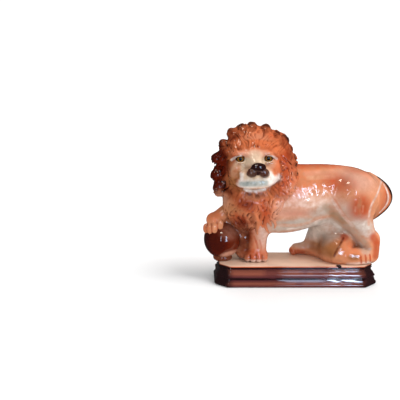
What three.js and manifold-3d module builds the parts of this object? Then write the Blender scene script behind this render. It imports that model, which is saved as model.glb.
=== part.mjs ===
// A glazed pottery lion on a moulded plinth: it stands with its face turned to the viewer
// and rests a raised forepaw on a ball. Millimetres, +Z up, origin at the middle of the underside.
import * as THREE from 'three';
import { mergeVertices } from 'three/addons/utils/BufferGeometryUtils.js';
import Module from 'manifold-3d';

// Driving sizes of the whole ornament.
const PLINTH_LENGTH = 267;
const PLINTH_DEPTH = 102;
const PLINTH_HEIGHT = 34;
const PLINTH_CORNER = 21.5;
const PLINTH_SLOPE = 9.2;
const FIGURE_LENGTH = 314;
const FIGURE_DEPTH = 104;
const FIGURE_HEIGHT = 228;
const BALL_DIAMETER = 63.4;
const EYE_DIAMETER = 12.4;
const EYE_CLEARANCE = 0.3;

// How far the feet are bedded into the top of the plinth, and how far a pad of clay lifts
// the ball off it.
const FOOT_SINK = 4;
const BALL_LIFT = 2.6;

// Fillets between the modelled forms, from the broad masses down to the toes and the nose.
const BROAD_FILLET = 11;
const LIMB_FILLET = 9;
const PAW_FILLET = 6;
const FEATURE_FILLET = 4.5;
const FINE_FILLET = 2.4;

// How finely the surface is sampled, the room left round it in samples, and the share of a
// sample that a surface point keeps away from the grid's own points.
const SAMPLE_STEP = 2.6;
const SPARE_SAMPLES = 4;
const LEAST_SHARE = 0.06;

// How many faces the figure keeps, and how often curves and round faces are divided.
const FIGURE_FACE_COUNT = 6900;
const CURVE_STEPS = 4;
const BALL_STEPS = 6;
const EYE_STEPS = 2;

// How the thinning weighs a merge: pull towards the middle on flat ground, cost of length,
// and the least turn and area that a face may be left with.
const FLAT_HOLD = 0.002;
const LENGTH_COST = 0.02;
const LEAST_TURN = 0.35;
const LEAST_AREA = 0.05;
const TERM_COUNT = 10;
const TINY = 1e-9;

// Finishes of the glazed pottery and of the glass.
const GLAZE = { color: 0xc98058, roughness: 0.14, metalness: 0 };
const GLASS = { color: 0x8a5410, roughness: 0.05, metalness: 0 };

// Edge moulding of the plinth, from the underside up: [share of height, share of slope].
const MOULDING = [
  [0, 0.07],
  [0.03, 0],
  [0.3, 0],
  [0.39, 0.14],
  [0.44, 0.42],
  [0.54, 0.47],
  [0.64, 0.52],
  [0.67, 0.75],
  [0.9, 0.86],
  [0.925, 0.94],
  [0.985, 0.94],
  [1, 1],
];

// The figure is laid out in shares of its own length, depth and height. Length runs from the
// raised paw to the tail, depth from front to back, and height starts at the top of the plinth.
const along = (share) => share * FIGURE_LENGTH;
const across = (share) => share * FIGURE_DEPTH;
const above = (share) => PLINTH_HEIGHT + share * FIGURE_HEIGHT;
const thick = (share) => share * FIGURE_HEIGHT;
const point = ([x, y, z]) => new THREE.Vector3(along(x), across(y), above(z));

// Ball, under the raised paw, and the pad that it sits in, in ball radii.
const BALL_RADIUS = BALL_DIAMETER / 2;
const BALL_CENTRE = new THREE.Vector3(
  along(-0.38),
  across(0.019),
  PLINTH_HEIGHT + BALL_LIFT + BALL_RADIUS,
);
const BALL_PAD = { centre: [0.03, 0, -1.04], half: [0.4, 0.44, 0.16] };
// The clay inside the ball, so that what rests on the ball closes on it.
const BALL_CORE = { centre: [0, 0, 0], half: [0.94, 0.94, 0.94] };

// A point near the ball, given in ball radii from its centre.
function byBall([x, y, z]) {
  return new THREE.Vector3(x, y, z).multiplyScalar(BALL_RADIUS).add(BALL_CENTRE);
}

// Rounded limbs: each station is [length, depth, height, thickness], and flatness is the
// ratio of a limb's depth to its height.
const TRUNK = [
  {
    name: 'torso',
    fillet: FEATURE_FILLET,
    flatness: 0.68,
    stations: [
      [-0.21, 0.019, 0.412, 0.193],
      [-0.121, 0.019, 0.439, 0.237],
      [-0.038, 0.019, 0.454, 0.25],
      [0.057, 0.01, 0.474, 0.232],
      [0.159, 0.01, 0.5, 0.206],
      [0.268, 0.019, 0.496, 0.193],
      [0.344, 0.019, 0.469, 0.18],
    ],
  },
];
const TAIL = [
  {
    name: 'tail pressed against the rump',
    fillet: FINE_FILLET,
    flatness: 1,
    stations: [
      [0.382, 0.038, 0.605, 0.044],
      [0.433, 0.038, 0.566, 0.042],
      [0.471, 0.038, 0.518, 0.042],
      [0.487, 0.038, 0.461, 0.042],
      [0.475, 0.038, 0.408, 0.039],
      [0.446, 0.038, 0.355, 0.035],
      [0.42, 0.019, 0.311, 0.026],
    ],
  },
];
const HIND_LEGS = [
  {
    name: 'near hind leg',
    fillet: LIMB_FILLET,
    flatness: 0.8,
    stations: [
      [0.293, -0.154, 0.487, 0.14],
      [0.309, -0.183, 0.395, 0.118],
      [0.328, -0.192, 0.325, 0.096],
      [0.35, -0.192, 0.254, 0.079],
      [0.376, -0.183, 0.184, 0.068],
      [0.395, -0.173, 0.114, 0.064],
      [0.398, -0.183, 0.053, 0.057],
    ],
  },
  {
    name: 'far hind leg, set forward',
    fillet: LIMB_FILLET,
    flatness: 0.75,
    stations: [
      [0.268, 0.212, 0.487, 0.14],
      [0.242, 0.221, 0.368, 0.136],
      [0.197, 0.24, 0.272, 0.123],
      [0.156, 0.26, 0.189, 0.088],
      [0.124, 0.279, 0.114, 0.066],
      [0.108, 0.298, 0.053, 0.057],
    ],
  },
  {
    name: 'far hind paw',
    fillet: PAW_FILLET,
    flatness: 1,
    stations: [
      [0.115, 0.295, 0.048, 0.053],
      [0.07, 0.305, 0.046, 0.046],
      [0.032, 0.31, 0.042, 0.042],
    ],
  },
  {
    name: 'bank of clay between the hind feet',
    fillet: PAW_FILLET,
    flatness: 1,
    stations: [
      [0.134, 0.231, 0.035, 0.048],
      [0.166, 0.058, 0.035, 0.048],
      [0.197, -0.096, 0.035, 0.053],
      [0.255, -0.154, 0.044, 0.061],
      [0.331, -0.115, 0.053, 0.061],
    ],
  },
  {
    name: 'near hind paw',
    fillet: PAW_FILLET,
    flatness: 0.95,
    stations: [
      [0.268, -0.115, 0.123, 0.057],
      [0.261, -0.192, 0.079, 0.066],
      [0.28, -0.25, 0.053, 0.066],
      [0.331, -0.26, 0.053, 0.061],
      [0.376, -0.231, 0.053, 0.053],
    ],
  },
  {
    name: 'raised edge of the near hind paw',
    fillet: FEATURE_FILLET,
    flatness: 1,
    stations: [
      [0.271, -0.163, 0.171, 0.018],
      [0.245, -0.231, 0.14, 0.02],
      [0.22, -0.288, 0.096, 0.02],
      [0.197, -0.317, 0.053, 0.018],
    ],
  },
];
const FORELEGS = [
  {
    name: 'near foreleg',
    fillet: LIMB_FILLET,
    flatness: 0.9,
    stations: [
      [-0.172, -0.135, 0.386, 0.105],
      [-0.182, -0.115, 0.307, 0.086],
      [-0.188, -0.087, 0.237, 0.072],
      [-0.193, -0.067, 0.167, 0.067],
      [-0.197, -0.058, 0.105, 0.068],
      [-0.201, -0.067, 0.057, 0.07],
    ],
  },
  {
    name: 'clay between the ball and the foreleg',
    fillet: FEATURE_FILLET,
    flatness: 1,
    stations: [
      [-0.261, 0.019, 0.053, 0.061],
      [-0.274, 0.038, 0.158, 0.061],
    ],
  },
];

// Rounded masses: centre and half sizes in the same shares, turn in degrees about the depth.
const BODY_MASSES = [
  {
    name: 'near haunch',
    centre: [0.299, -0.144, 0.478],
    half: [0.127, 0.269, 0.193],
    turn: 20,
    fillet: LIMB_FILLET,
  },
  {
    name: 'far haunch',
    centre: [0.287, 0.154, 0.469],
    half: [0.127, 0.25, 0.193],
    turn: 12,
    fillet: BROAD_FILLET,
  },
  {
    name: 'web inside the tail',
    centre: [0.408, 0.048, 0.452],
    half: [0.076, 0.135, 0.149],
    turn: 10,
    fillet: LIMB_FILLET,
  },
];
const LEG_MASSES = [
  {
    name: 'near heel',
    centre: [0.417, -0.154, 0.167],
    half: [0.027, 0.077, 0.057],
    fillet: PAW_FILLET,
  },
  {
    name: 'wall between the hind legs',
    centre: [0.255, 0.077, 0.175],
    half: [0.121, 0.192, 0.184],
    turn: -15,
    fillet: PAW_FILLET,
  },
  {
    name: 'web behind the near hock',
    centre: [0.357, -0.02, 0.15],
    half: [0.07, 0.16, 0.15],
    fillet: PAW_FILLET,
  },
  {
    name: 'front of the near hind paw',
    centre: [0.229, -0.212, 0.048],
    half: [0.051, 0.135, 0.057],
    turn: -20,
    fillet: FEATURE_FILLET,
  },
  {
    name: 'near forepaw',
    centre: [-0.202, -0.087, 0.042],
    half: [0.064, 0.144, 0.05],
    fillet: FEATURE_FILLET,
  },
  {
    name: 'chest',
    centre: [-0.229, -0.038, 0.439],
    half: [0.15, 0.356, 0.228],
    fillet: BROAD_FILLET,
  },
  {
    name: 'web behind the ball',
    centre: [-0.28, 0.058, 0.246],
    half: [0.083, 0.144, 0.219],
    fillet: PAW_FILLET,
  },
];
const HEAD_MASSES = [
  {
    name: 'neck',
    centre: [-0.134, 0.038, 0.575],
    half: [0.143, 0.317, 0.202],
    fillet: BROAD_FILLET,
  },
  {
    name: 'mane',
    centre: [-0.226, -0.01, 0.718],
    half: [0.169, 0.337, 0.228],
    fillet: LIMB_FILLET,
  },
  {
    name: 'mask',
    centre: [-0.225, -0.144, 0.684],
    half: [0.134, 0.26, 0.158],
    fillet: FEATURE_FILLET,
  },
];

// Toes on the plinth, near forepaw, near hind paw and far hind paw in turn.
const TOES = [
  [-0.25, -0.154, 0.029],
  [-0.22, -0.178, 0.029],
  [-0.19, -0.178, 0.029],
  [-0.159, -0.154, 0.029],
  [0.309, -0.305, 0.028],
  [0.334, -0.3, 0.03],
  [0.358, -0.292, 0.032],
  [0.381, -0.282, 0.034],
  [0.012, 0.26, 0.026],
  [0.008, 0.31, 0.026],
  [0.014, 0.36, 0.026],
];
// Toes of the raised paw, in ball radii from the middle of the ball.
const PAW_ON_BALL_TOES = [
  [-0.87, -0.18, 0.62],
  [-0.69, -0.542, 0.68],
  [-0.44, -0.696, 0.76],
  [-0.137, -0.627, 0.942],
];

// Face, laid out about the middle line of the head. The brow is repeated on the other side.
const BROW = {
  fillet: FEATURE_FILLET,
  flatness: 1,
  stations: [
    [-0.347, -0.298, 0.776, 0.018],
    [-0.328, -0.346, 0.798, 0.024],
    [-0.296, -0.394, 0.809, 0.026],
    [-0.255, -0.404, 0.789, 0.022],
  ],
};
const NOSE_BRIDGE = {
  fillet: PAW_FILLET,
  flatness: 0.8,
  stations: [
    [-0.228, -0.356, 0.825, 0.039],
    [-0.226, -0.394, 0.781, 0.039],
    [-0.223, -0.442, 0.746, 0.042],
    [-0.217, -0.481, 0.711, 0.044],
  ],
};
const LIP_ROLL = {
  fillet: FINE_FILLET,
  flatness: 1,
  stations: [
    [-0.318, -0.317, 0.601, 0.018],
    [-0.29, -0.423, 0.603, 0.029],
    [-0.252, -0.5, 0.61, 0.033],
    [-0.213, -0.519, 0.616, 0.035],
    [-0.175, -0.5, 0.623, 0.033],
    [-0.137, -0.433, 0.636, 0.029],
    [-0.105, -0.346, 0.654, 0.018],
  ],
};
const FACE_MASSES = [
  {
    name: 'left muzzle pad',
    centre: [-0.261, -0.413, 0.636],
    half: [0.054, 0.144, 0.057],
    fillet: PAW_FILLET,
  },
  {
    name: 'right muzzle pad',
    centre: [-0.166, -0.413, 0.645],
    half: [0.057, 0.135, 0.057],
    fillet: PAW_FILLET,
  },
  {
    name: 'middle of the muzzle',
    centre: [-0.213, -0.442, 0.654],
    half: [0.051, 0.135, 0.061],
    fillet: PAW_FILLET,
  },
  {
    name: 'left cheek',
    centre: [-0.315, -0.288, 0.675],
    half: [0.038, 0.106, 0.083],
    fillet: PAW_FILLET,
  },
  {
    name: 'right cheek',
    centre: [-0.134, -0.288, 0.684],
    half: [0.041, 0.106, 0.083],
    fillet: PAW_FILLET,
  },
];
const NOSE_MASSES = [
  {
    name: 'top of the nose',
    centre: [-0.212, -0.567, 0.721],
    half: [0.033, 0.063, 0.031],
    fillet: FINE_FILLET,
  },
  {
    name: 'left wing of the nose',
    centre: [-0.245, -0.548, 0.682],
    half: [0.023, 0.067, 0.032],
    fillet: FINE_FILLET,
  },
  {
    name: 'right wing of the nose',
    centre: [-0.183, -0.548, 0.68],
    half: [0.024, 0.067, 0.033],
    fillet: FINE_FILLET,
  },
  {
    name: 'lower lip and chin',
    centre: [-0.21, -0.423, 0.555],
    half: [0.057, 0.096, 0.029],
    fillet: FEATURE_FILLET,
  },
];
// Eyes: the -X one is named left, as the viewer sees it. Lids are given in eye radii.
const EYES = [
  { name: 'glass_eye_left', centre: [-0.298, -0.349, 0.765] },
  { name: 'glass_eye_right', centre: [-0.158, -0.349, 0.768] },
];
const EYE_HOLLOW = { front: -0.096, half: [0.033, 0.077, 0.037] };
const LID_THICKNESS = 0.3;
const UPPER_LID = [
  [-1.55, 0, -0.08],
  [-0.65, -0.72, 0.92],
  [0.65, -0.72, 0.92],
  [1.55, -0.08, -0.08],
];
const LOWER_LID = [
  [-1.55, 0, -0.08],
  [-0.65, -0.68, -0.88],
  [0.65, -0.68, -0.88],
  [1.55, -0.08, -0.08],
];

// Raised foreleg, from the chest out to the ball: shares of the figure, then ball radii for
// the wrist, the paw and the clay that fills the corner under the leg.
const RAISED_UPPER = [
  [-0.28, 0.01, 0.416, 0.084],
  [-0.331, 0, 0.386, 0.055],
  [-0.37, -0.01, 0.358, 0.048],
];
const RAISED_WRIST = [-0.1, -0.16, 1.34];
const RAISED_PAW = { centre: [-0.42, -0.26, 1.1], half: [0.45, 0.42, 0.41] };
const RAISED_WEB = { centre: [0.16, 0.12, 1.02], half: [0.5, 0.34, 0.26] };
const RAISED_TOE_HALF = [0.17, 0.18, 0.27];
const FLOOR_TOE_HALF = [0.017, 0.075, 0.03];

// The outer edge of the mane seen from the front, from the tail side up over the crown and
// round under the chin, as [length, height] about the middle of the face.
const MANE_CENTRE = [-0.226, 0.684];
const MANE_EDGE = [
  [-0.010, 0.684],
  [-0.019, 0.768],
  [-0.054, 0.864],
  [-0.102, 0.925],
  [-0.166, 0.967],
  [-0.232, 0.980],
  [-0.287, 0.958],
  [-0.332, 0.914],
  [-0.376, 0.848],
  [-0.414, 0.759],
  [-0.420, 0.636],
  [-0.412, 0.539],
  [-0.408, 0.465],
  [-0.350, 0.395],
  [-0.296, 0.346],
  [-0.239, 0.289],
  [-0.178, 0.263],
  [-0.131, 0.298],
  [-0.105, 0.377],
  [-0.067, 0.474],
  [-0.035, 0.548],
  [-0.016, 0.614],
];
// Rows of locks, from the face outward: first and last share of the way to the edge of the
// mane, number round the face, thickness, and thickness of the tip against the middle.
const FRONT_LOCKS = [
  { from: 0.58, to: 0.82, count: 30, thickness: 0.022, tip: 0.6 },
  { from: 0.72, to: 0.92, count: 28, thickness: 0.025, tip: 0.6 },
  { from: 0.87, to: 0.98, count: 21, thickness: 0.036, tip: 1.02 },
];
const BACK_LOCKS = [
  { from: 0.15, to: 0.5, count: 8, thickness: 0.036, tip: 0.7 },
  { from: 0.42, to: 0.75, count: 12, thickness: 0.036, tip: 0.7 },
  { from: 0.68, to: 0.94, count: 18, thickness: 0.034, tip: 0.8 },
];
const CHEST_LOCKS = { from: 0.4, to: 0.7, count: 30, thickness: 0.024, tip: 0.6 };
const CHEST_SPAN = [0.58, 0.84];
const BACK_SPAN = [-0.06, 0.56];
const LOCK_PROFILE = [0.55, 0.9, 1, 0.92];
const LOCK_FILLET = 1.6;
const LOCK_SUNK = 0.35;

// How locks curl: how far sideways, as a share of the way round; how many half turns; how
// strongly each second lock turns the other way; and the share of its depth that a lock
// keeps at each point past the edge of the clay.
const LOCK_CURL = 0.012;
const LOCK_WAVES = 1.5;
const LOCK_TURNS = [-0.6, 1];
const LOCK_FALL = 0.55;

// The space that the clay fills: shares of the figure, and ball radii round the ball.
const FIGURE_SPACE = { low: [-0.53, -0.7, 0], high: [0.55, 0.55, 1.06] };
const BALL_SPACE = { low: [-1.5, -1.5, -1], high: [1.5, 1.5, 2.2] };

// Soft modelling clay: signed distances to the surface on a regular grid, negative inside.
class Clay {
  constructor(low, high, step) {
    this.low = low;
    this.step = step;
    this.count = high.clone().sub(low).divideScalar(step).ceil().addScalar(1);
    this.distance = new Float32Array(this.count.x * this.count.y * this.count.z).fill(Infinity);
  }

  copy() {
    const twin = Object.create(Clay.prototype);
    Object.assign(twin, this);
    twin.distance = this.distance.slice();
    return twin;
  }

  index(i, j, k) {
    return (i * this.count.y + j) * this.count.z + k;
  }

  // Works a shape into the clay inside a box, rounding the seam by the fillet.
  work(box, fillet, shape, cut = false) {
    const { low, step, count, distance } = this;
    const first = box.min.clone().sub(low).divideScalar(step).floor().max(new THREE.Vector3());
    const last = box.max.clone().sub(low).divideScalar(step).ceil().min(count.clone().subScalar(1));
    const sign = cut ? -1 : 1;
    for (let i = first.x; i <= last.x; i += 1) {
      for (let j = first.y; j <= last.y; j += 1) {
        for (let k = first.z; k <= last.z; k += 1) {
          const cell = this.index(i, j, k);
          const old = sign * distance[cell];
          const added = shape(low.x + i * step, low.y + j * step, low.z + k * step);
          const seam = Math.max(fillet - Math.abs(old - added), 0);
          const rounding = seam > 0 ? (seam * seam) / (4 * fillet) : 0;
          distance[cell] = sign * (Math.min(old, added) - rounding);
        }
      }
    }
  }

  // An ellipsoid with half sizes along its own axes, turned about the depth axis.
  mass(centre, half, turn, fillet, cut = false) {
    const reach = Math.max(half.x, half.y, half.z) + fillet + 2 * this.step;
    const box = new THREE.Box3().setFromPoints([centre]).expandByScalar(reach);
    const cos = Math.cos(THREE.MathUtils.degToRad(turn));
    const sin = Math.sin(THREE.MathUtils.degToRad(turn));
    this.work(box, fillet, (x, y, z) => {
      const dx = x - centre.x;
      const dy = (y - centre.y) / half.y;
      const dz = z - centre.z;
      const u = (dx * cos - dz * sin) / half.x;
      const w = (dx * sin + dz * cos) / half.z;
      const size = Math.sqrt(u * u + dy * dy + w * w);
      const slope = Math.sqrt((u / half.x) ** 2 + (dy / half.y) ** 2 + (w / half.z) ** 2);
      return (size * (size - 1)) / Math.max(slope, TINY);
    }, cut);
  }

  // A round limb of changing thickness along points with a radius each.
  limb(points, radii, flatness, fillet, steps = CURVE_STEPS) {
    const spine = smooth(points, steps);
    const widths = smooth(radii.map((radius) => new THREE.Vector3(radius, 0, 0)), steps);
    const stretch = 1 / flatness;
    const parts = [];
    for (let n = 1; n < spine.length; n += 1) {
      const start = spine[n - 1];
      const leg = spine[n].clone().sub(start);
      leg.y *= stretch;
      const square = Math.max(leg.lengthSq(), TINY);
      const radius = widths[n - 1].x;
      parts.push({ start, leg, square, radius, grow: widths[n].x - radius });
    }
    const margin = Math.max(...radii) + fillet + 2 * this.step;
    const box = new THREE.Box3().setFromPoints(spine).expandByScalar(margin);
    const scale = Math.sqrt(flatness);
    this.work(box, fillet, (x, y, z) => {
      let nearest = Infinity;
      for (const { start, leg, square, radius, grow } of parts) {
        const dx = x - start.x;
        const dy = (y - start.y) * stretch;
        const dz = z - start.z;
        const gone = (dx * leg.x + dy * leg.y + dz * leg.z) / square;
        const share = Math.min(Math.max(gone, 0), 1);
        const ex = dx - share * leg.x;
        const ey = dy - share * leg.y;
        const ez = dz - share * leg.z;
        const away = Math.sqrt(ex * ex + ey * ey + ez * ez);
        nearest = Math.min(nearest, away - radius - share * grow);
      }
      return nearest * scale;
    });
  }

  // Depth of the surface at a place on the front (side -1) or the back (side 1) of the clay.
  surface(x, z, side) {
    const { low, step, count, distance } = this;
    const i = Math.round((x - low.x) / step);
    const k = Math.round((z - low.z) / step);
    if (i < 0 || k < 0 || i >= count.x || k >= count.z) return null;
    for (let n = 1; n < count.y; n += 1) {
      const j = side < 0 ? n : count.y - 1 - n;
      const inner = distance[this.index(i, j, k)];
      if (inner < 0) {
        const outer = distance[this.index(i, j + side, k)];
        return low.y + step * (j + (side * inner) / (inner - outer));
      }
    }
    return null;
  }

  // The skin of the clay as a closed mesh: each grid cube is cut into six tetrahedra.
  skin() {
    const { low, step, count, distance } = this;
    const corners = [0, 1, 2, 3, 4, 5, 6, 7].map((n) => [n & 1, (n >> 1) & 1, (n >> 2) & 1]);
    const offsets = corners.map(([x, y, z]) => this.index(x, y, z));
    const paths = [[1, 3], [3, 2], [2, 6], [6, 4], [4, 5], [5, 1]];
    const positions = [];
    const triangles = [];
    const made = new Map();
    const total = distance.length;
    const place = (cell) => {
      const k = cell % count.z;
      const j = Math.floor(cell / count.z) % count.y;
      const i = Math.floor(cell / (count.z * count.y));
      return [low.x + i * step, low.y + j * step, low.z + k * step];
    };
    const crossing = (inner, outer) => {
      const key = Math.min(inner, outer) * total + Math.max(inner, outer);
      if (!made.has(key)) {
        const span = distance[outer] - distance[inner];
        const share = Math.min(Math.max(-distance[inner] / span, LEAST_SHARE), 1 - LEAST_SHARE);
        const [ax, ay, az] = place(inner);
        const [bx, by, bz] = place(outer);
        made.set(key, positions.length / 3);
        positions.push(ax + share * (bx - ax), ay + share * (by - ay), az + share * (bz - az));
      }
      return made.get(key);
    };
    const face = (a, b, c, inner, outer) => {
      const p = [a, b, c].map((v) => new THREE.Vector3().fromArray(positions, 3 * v));
      const normal = p[1].clone().sub(p[0]).cross(p[2].clone().sub(p[0]));
      const out = new THREE.Vector3(...place(outer)).sub(new THREE.Vector3(...place(inner)));
      triangles.push(...(normal.dot(out) > 0 ? [a, b, c] : [a, c, b]));
    };
    for (let i = 0; i < count.x - 1; i += 1) {
      for (let j = 0; j < count.y - 1; j += 1) {
        for (let k = 0; k < count.z - 1; k += 1) {
          const cell = this.index(i, j, k);
          let filled = 0;
          for (const offset of offsets) filled += distance[cell + offset] < 0 ? 1 : 0;
          if (filled === 0 || filled === 8) continue;
          for (const [one, two] of paths) {
            const four = [0, one, two, 7].map((n) => cell + offsets[n]);
            const inner = four.filter((n) => distance[n] < 0);
            const outer = four.filter((n) => distance[n] >= 0);
            if (inner.length === 1) {
              face(...outer.map((n) => crossing(inner[0], n)), inner[0], outer[0]);
            } else if (inner.length === 3) {
              face(...inner.map((n) => crossing(n, outer[0])), inner[0], outer[0]);
            } else if (inner.length === 2) {
              const ring = [
                crossing(inner[0], outer[0]),
                crossing(inner[0], outer[1]),
                crossing(inner[1], outer[1]),
                crossing(inner[1], outer[0]),
              ];
              face(ring[0], ring[1], ring[2], inner[0], outer[0]);
              face(ring[0], ring[2], ring[3], inner[0], outer[0]);
            }
          }
        }
      }
    }
    return { positions, triangles };
  }
}

// Points on a smooth curve through the given points, with steps spans between neighbours.
function smooth(points, steps) {
  if (points.length < 3 || steps === 1) return points;
  const curve = new THREE.CatmullRomCurve3(points, false, 'catmullrom');
  return curve.getPoints(steps * (points.length - 1));
}

// Merges short and flat edges of a closed mesh until only the wanted triangles are left, so
// that broad forms keep few triangles and the carving keeps many.
class Thinner {
  constructor({ positions, triangles }) {
    this.at = Float64Array.from(positions);
    this.corners = Int32Array.from(triangles);
    this.left = triangles.length / 3;
    this.alive = new Uint8Array(this.left).fill(1);
    this.stamp = new Int32Array(positions.length / 3);
    this.around = Array.from(this.stamp, () => []);
    this.spread = new Float64Array(TERM_COUNT * this.stamp.length);
    this.heap = [];
    for (let f = 0; f < this.left; f += 1) {
      const [a, b, c, area] = this.plane(f, -1, null);
      const v = 3 * this.corners[3 * f];
      const d = -(a * this.at[v] + b * this.at[v + 1] + c * this.at[v + 2]);
      const terms = [a * a, a * b, a * c, a * d, b * b, b * c, b * d, c * c, c * d, d * d];
      for (let n = 0; n < 3; n += 1) {
        const corner = this.corners[3 * f + n];
        this.around[corner].push(f);
        terms.forEach((term, m) => {
          this.spread[TERM_COUNT * corner + m] += term * area;
        });
      }
    }
  }

  // Unit normal and area of a face, with one vertex moved to a new place if one is given.
  plane(f, moved, place) {
    const [p, q, r] = [0, 1, 2].map((n) => {
      const v = this.corners[3 * f + n];
      return v === moved ? place : [this.at[3 * v], this.at[3 * v + 1], this.at[3 * v + 2]];
    });
    const ux = q[0] - p[0];
    const uy = q[1] - p[1];
    const uz = q[2] - p[2];
    const vx = r[0] - p[0];
    const vy = r[1] - p[1];
    const vz = r[2] - p[2];
    const a = uy * vz - uz * vy;
    const b = uz * vx - ux * vz;
    const c = ux * vy - uy * vx;
    const size = Math.max(Math.sqrt(a * a + b * b + c * c), TINY);
    return [a / size, b / size, c / size, size / 2];
  }

  neighbours(v) {
    const found = new Set();
    for (const f of this.around[v]) {
      for (let n = 0; n < 3; n += 1) found.add(this.corners[3 * f + n]);
    }
    found.delete(v);
    return found;
  }

  // The planes round two vertices, added up term by term.
  together(a, b) {
    const terms = [];
    for (let m = 0; m < TERM_COUNT; m += 1) {
      terms.push(this.spread[TERM_COUNT * a + m] + this.spread[TERM_COUNT * b + m]);
    }
    return terms;
  }

  // The best place for two merged vertices, and how much form the merge would lose.
  plan(a, b) {
    const [xx, xy, xz, xd, yy, yz, yd, zz, zd, dd] = this.together(a, b);
    const start = new THREE.Vector3().fromArray(this.at, 3 * a);
    const end = new THREE.Vector3().fromArray(this.at, 3 * b);
    const hold = FLAT_HOLD * (xx + yy + zz) + TINY;
    const form = new THREE.Matrix3(xx + hold, xy, xz, xy, yy + hold, yz, xz, yz, zz + hold);
    const place = new THREE.Vector3(-xd, -yd, -zd);
    place.addScaledVector(start, hold / 2).addScaledVector(end, hold / 2);
    const { x, y, z } = place.applyMatrix3(form.invert());
    const lostAlongX = x * (xx * x + 2 * (xy * y + xz * z + xd));
    const lostAlongY = y * (yy * y + 2 * (yz * z + yd));
    const lostAlongZ = z * (zz * z + 2 * zd);
    const lost = Math.max(lostAlongX + lostAlongY + lostAlongZ + dd, 0);
    const cost = lost + LENGTH_COST * start.distanceToSquared(end);
    return { a, b, place: [x, y, z], cost, mark: this.stamp[a] + this.stamp[b] };
  }

  // A merge is sound if it closes no tunnel and turns no face over.
  sound({ a, b, place }) {
    const shared = this.around[a].filter((f) => this.around[b].includes(f));
    if (shared.length !== 2) return false;
    const near = this.neighbours(a);
    let common = 0;
    for (const v of this.neighbours(b)) common += near.has(v) ? 1 : 0;
    if (common !== 2) return false;
    for (const v of [a, b]) {
      for (const f of this.around[v]) {
        if (shared.includes(f)) continue;
        const before = this.plane(f, -1, null);
        const after = this.plane(f, v, place);
        const turn = before[0] * after[0] + before[1] * after[1] + before[2] * after[2];
        if (turn < LEAST_TURN || after[3] < LEAST_AREA) return false;
      }
    }
    return true;
  }

  merge({ a, b, place }) {
    this.at.set(place, 3 * a);
    this.spread.set(this.together(a, b), TERM_COUNT * a);
    for (const f of this.around[b]) {
      const corners = this.corners.subarray(3 * f, 3 * f + 3);
      if (corners.includes(a)) {
        this.alive[f] = 0;
        this.left -= 1;
        for (const v of corners) {
          if (v !== b) this.around[v] = this.around[v].filter((other) => other !== f);
        }
      } else {
        corners[corners.indexOf(b)] = a;
        this.around[a].push(f);
      }
    }
    this.around[b] = [];
    this.stamp[a] += 1;
    this.stamp[b] += 1;
    for (const v of this.neighbours(a)) this.push(this.plan(a, v));
  }

  push(entry) {
    const { heap } = this;
    let n = heap.push(entry) - 1;
    while (n > 0) {
      const up = (n - 1) >> 1;
      if (heap[up].cost <= entry.cost) break;
      heap[n] = heap[up];
      n = up;
    }
    heap[n] = entry;
  }

  pop() {
    const { heap } = this;
    const top = heap[0];
    const entry = heap.pop();
    if (heap.length === 0) return top;
    let n = 0;
    for (;;) {
      let down = 2 * n + 1;
      if (down >= heap.length) break;
      if (down + 1 < heap.length && heap[down + 1].cost < heap[down].cost) down += 1;
      if (heap[down].cost >= entry.cost) break;
      heap[n] = heap[down];
      n = down;
    }
    heap[n] = entry;
    return top;
  }

  thin(wanted) {
    for (let v = 0; v < this.around.length; v += 1) {
      for (const other of this.neighbours(v)) {
        if (other > v) this.push(this.plan(v, other));
      }
    }
    while (this.left > wanted && this.heap.length > 0) {
      const next = this.pop();
      const fresh = next.mark === this.stamp[next.a] + this.stamp[next.b];
      if (fresh && this.sound(next)) this.merge(next);
    }
    const geometry = new THREE.BufferGeometry();
    const index = [];
    for (let f = 0; f < this.alive.length; f += 1) {
      if (this.alive[f]) index.push(...this.corners.subarray(3 * f, 3 * f + 3));
    }
    geometry.setAttribute('position', new THREE.Float32BufferAttribute(this.at, 3));
    geometry.setIndex(index);
    return geometry.toNonIndexed();
  }
}

// Lays one lock of hair on the clay, from one share of the way to the edge to another.
function layLock(clay, surfaceOf, edge, place, row, side, turn) {
  const points = [];
  const radii = [];
  let depth = 0;
  const profile = [...LOCK_PROFILE, row.tip];
  profile.forEach((width, n) => {
    const share = n / (profile.length - 1);
    const sway = LOCK_CURL * turn * Math.sin(LOCK_WAVES * Math.PI * share);
    const rim = edge.getPoint(THREE.MathUtils.euclideanModulo(place + sway, 1));
    const out = row.from + (row.to - row.from) * share;
    const x = along(MANE_CENTRE[0] + (rim.x - MANE_CENTRE[0]) * out);
    const z = above(MANE_CENTRE[1] + (rim.z - MANE_CENTRE[1]) * out);
    const radius = thick(row.thickness) * width;
    const found = surfaceOf.surface(x, z, side);
    depth = found === null ? depth * LOCK_FALL : found;
    points.push(new THREE.Vector3(x, depth - side * radius * LOCK_SUNK, z));
    radii.push(radius);
  });
  clay.limb(points, radii, 1, LOCK_FILLET, 1);
}

// Rows of locks round the face on one side of the clay, within a span of the mane's edge.
function layRows(clay, rows, side, [first, last]) {
  const corners = MANE_EDGE.map(([x, z]) => new THREE.Vector3(x, 0, z));
  const edge = new THREE.CatmullRomCurve3(corners, true, 'catmullrom');
  const base = clay.copy();
  rows.forEach((row, number) => {
    for (let n = 0; n < row.count; n += 1) {
      const place = (n + (number % 2) / 2) / row.count;
      const wrapped = place > last ? place - 1 : place;
      if (wrapped < first || wrapped > last) continue;
      layLock(clay, base, edge, place, row, side, LOCK_TURNS[n % 2]);
    }
  });
}

// Half sizes of a mass, given in shares of the figure.
function halfSize([x, y, z]) {
  return new THREE.Vector3(along(x), across(y), thick(z));
}

function addMasses(clay, masses) {
  for (const { centre, half, fillet, turn = 0 } of masses) {
    clay.mass(point(centre), halfSize(half), turn, fillet);
  }
}

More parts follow.
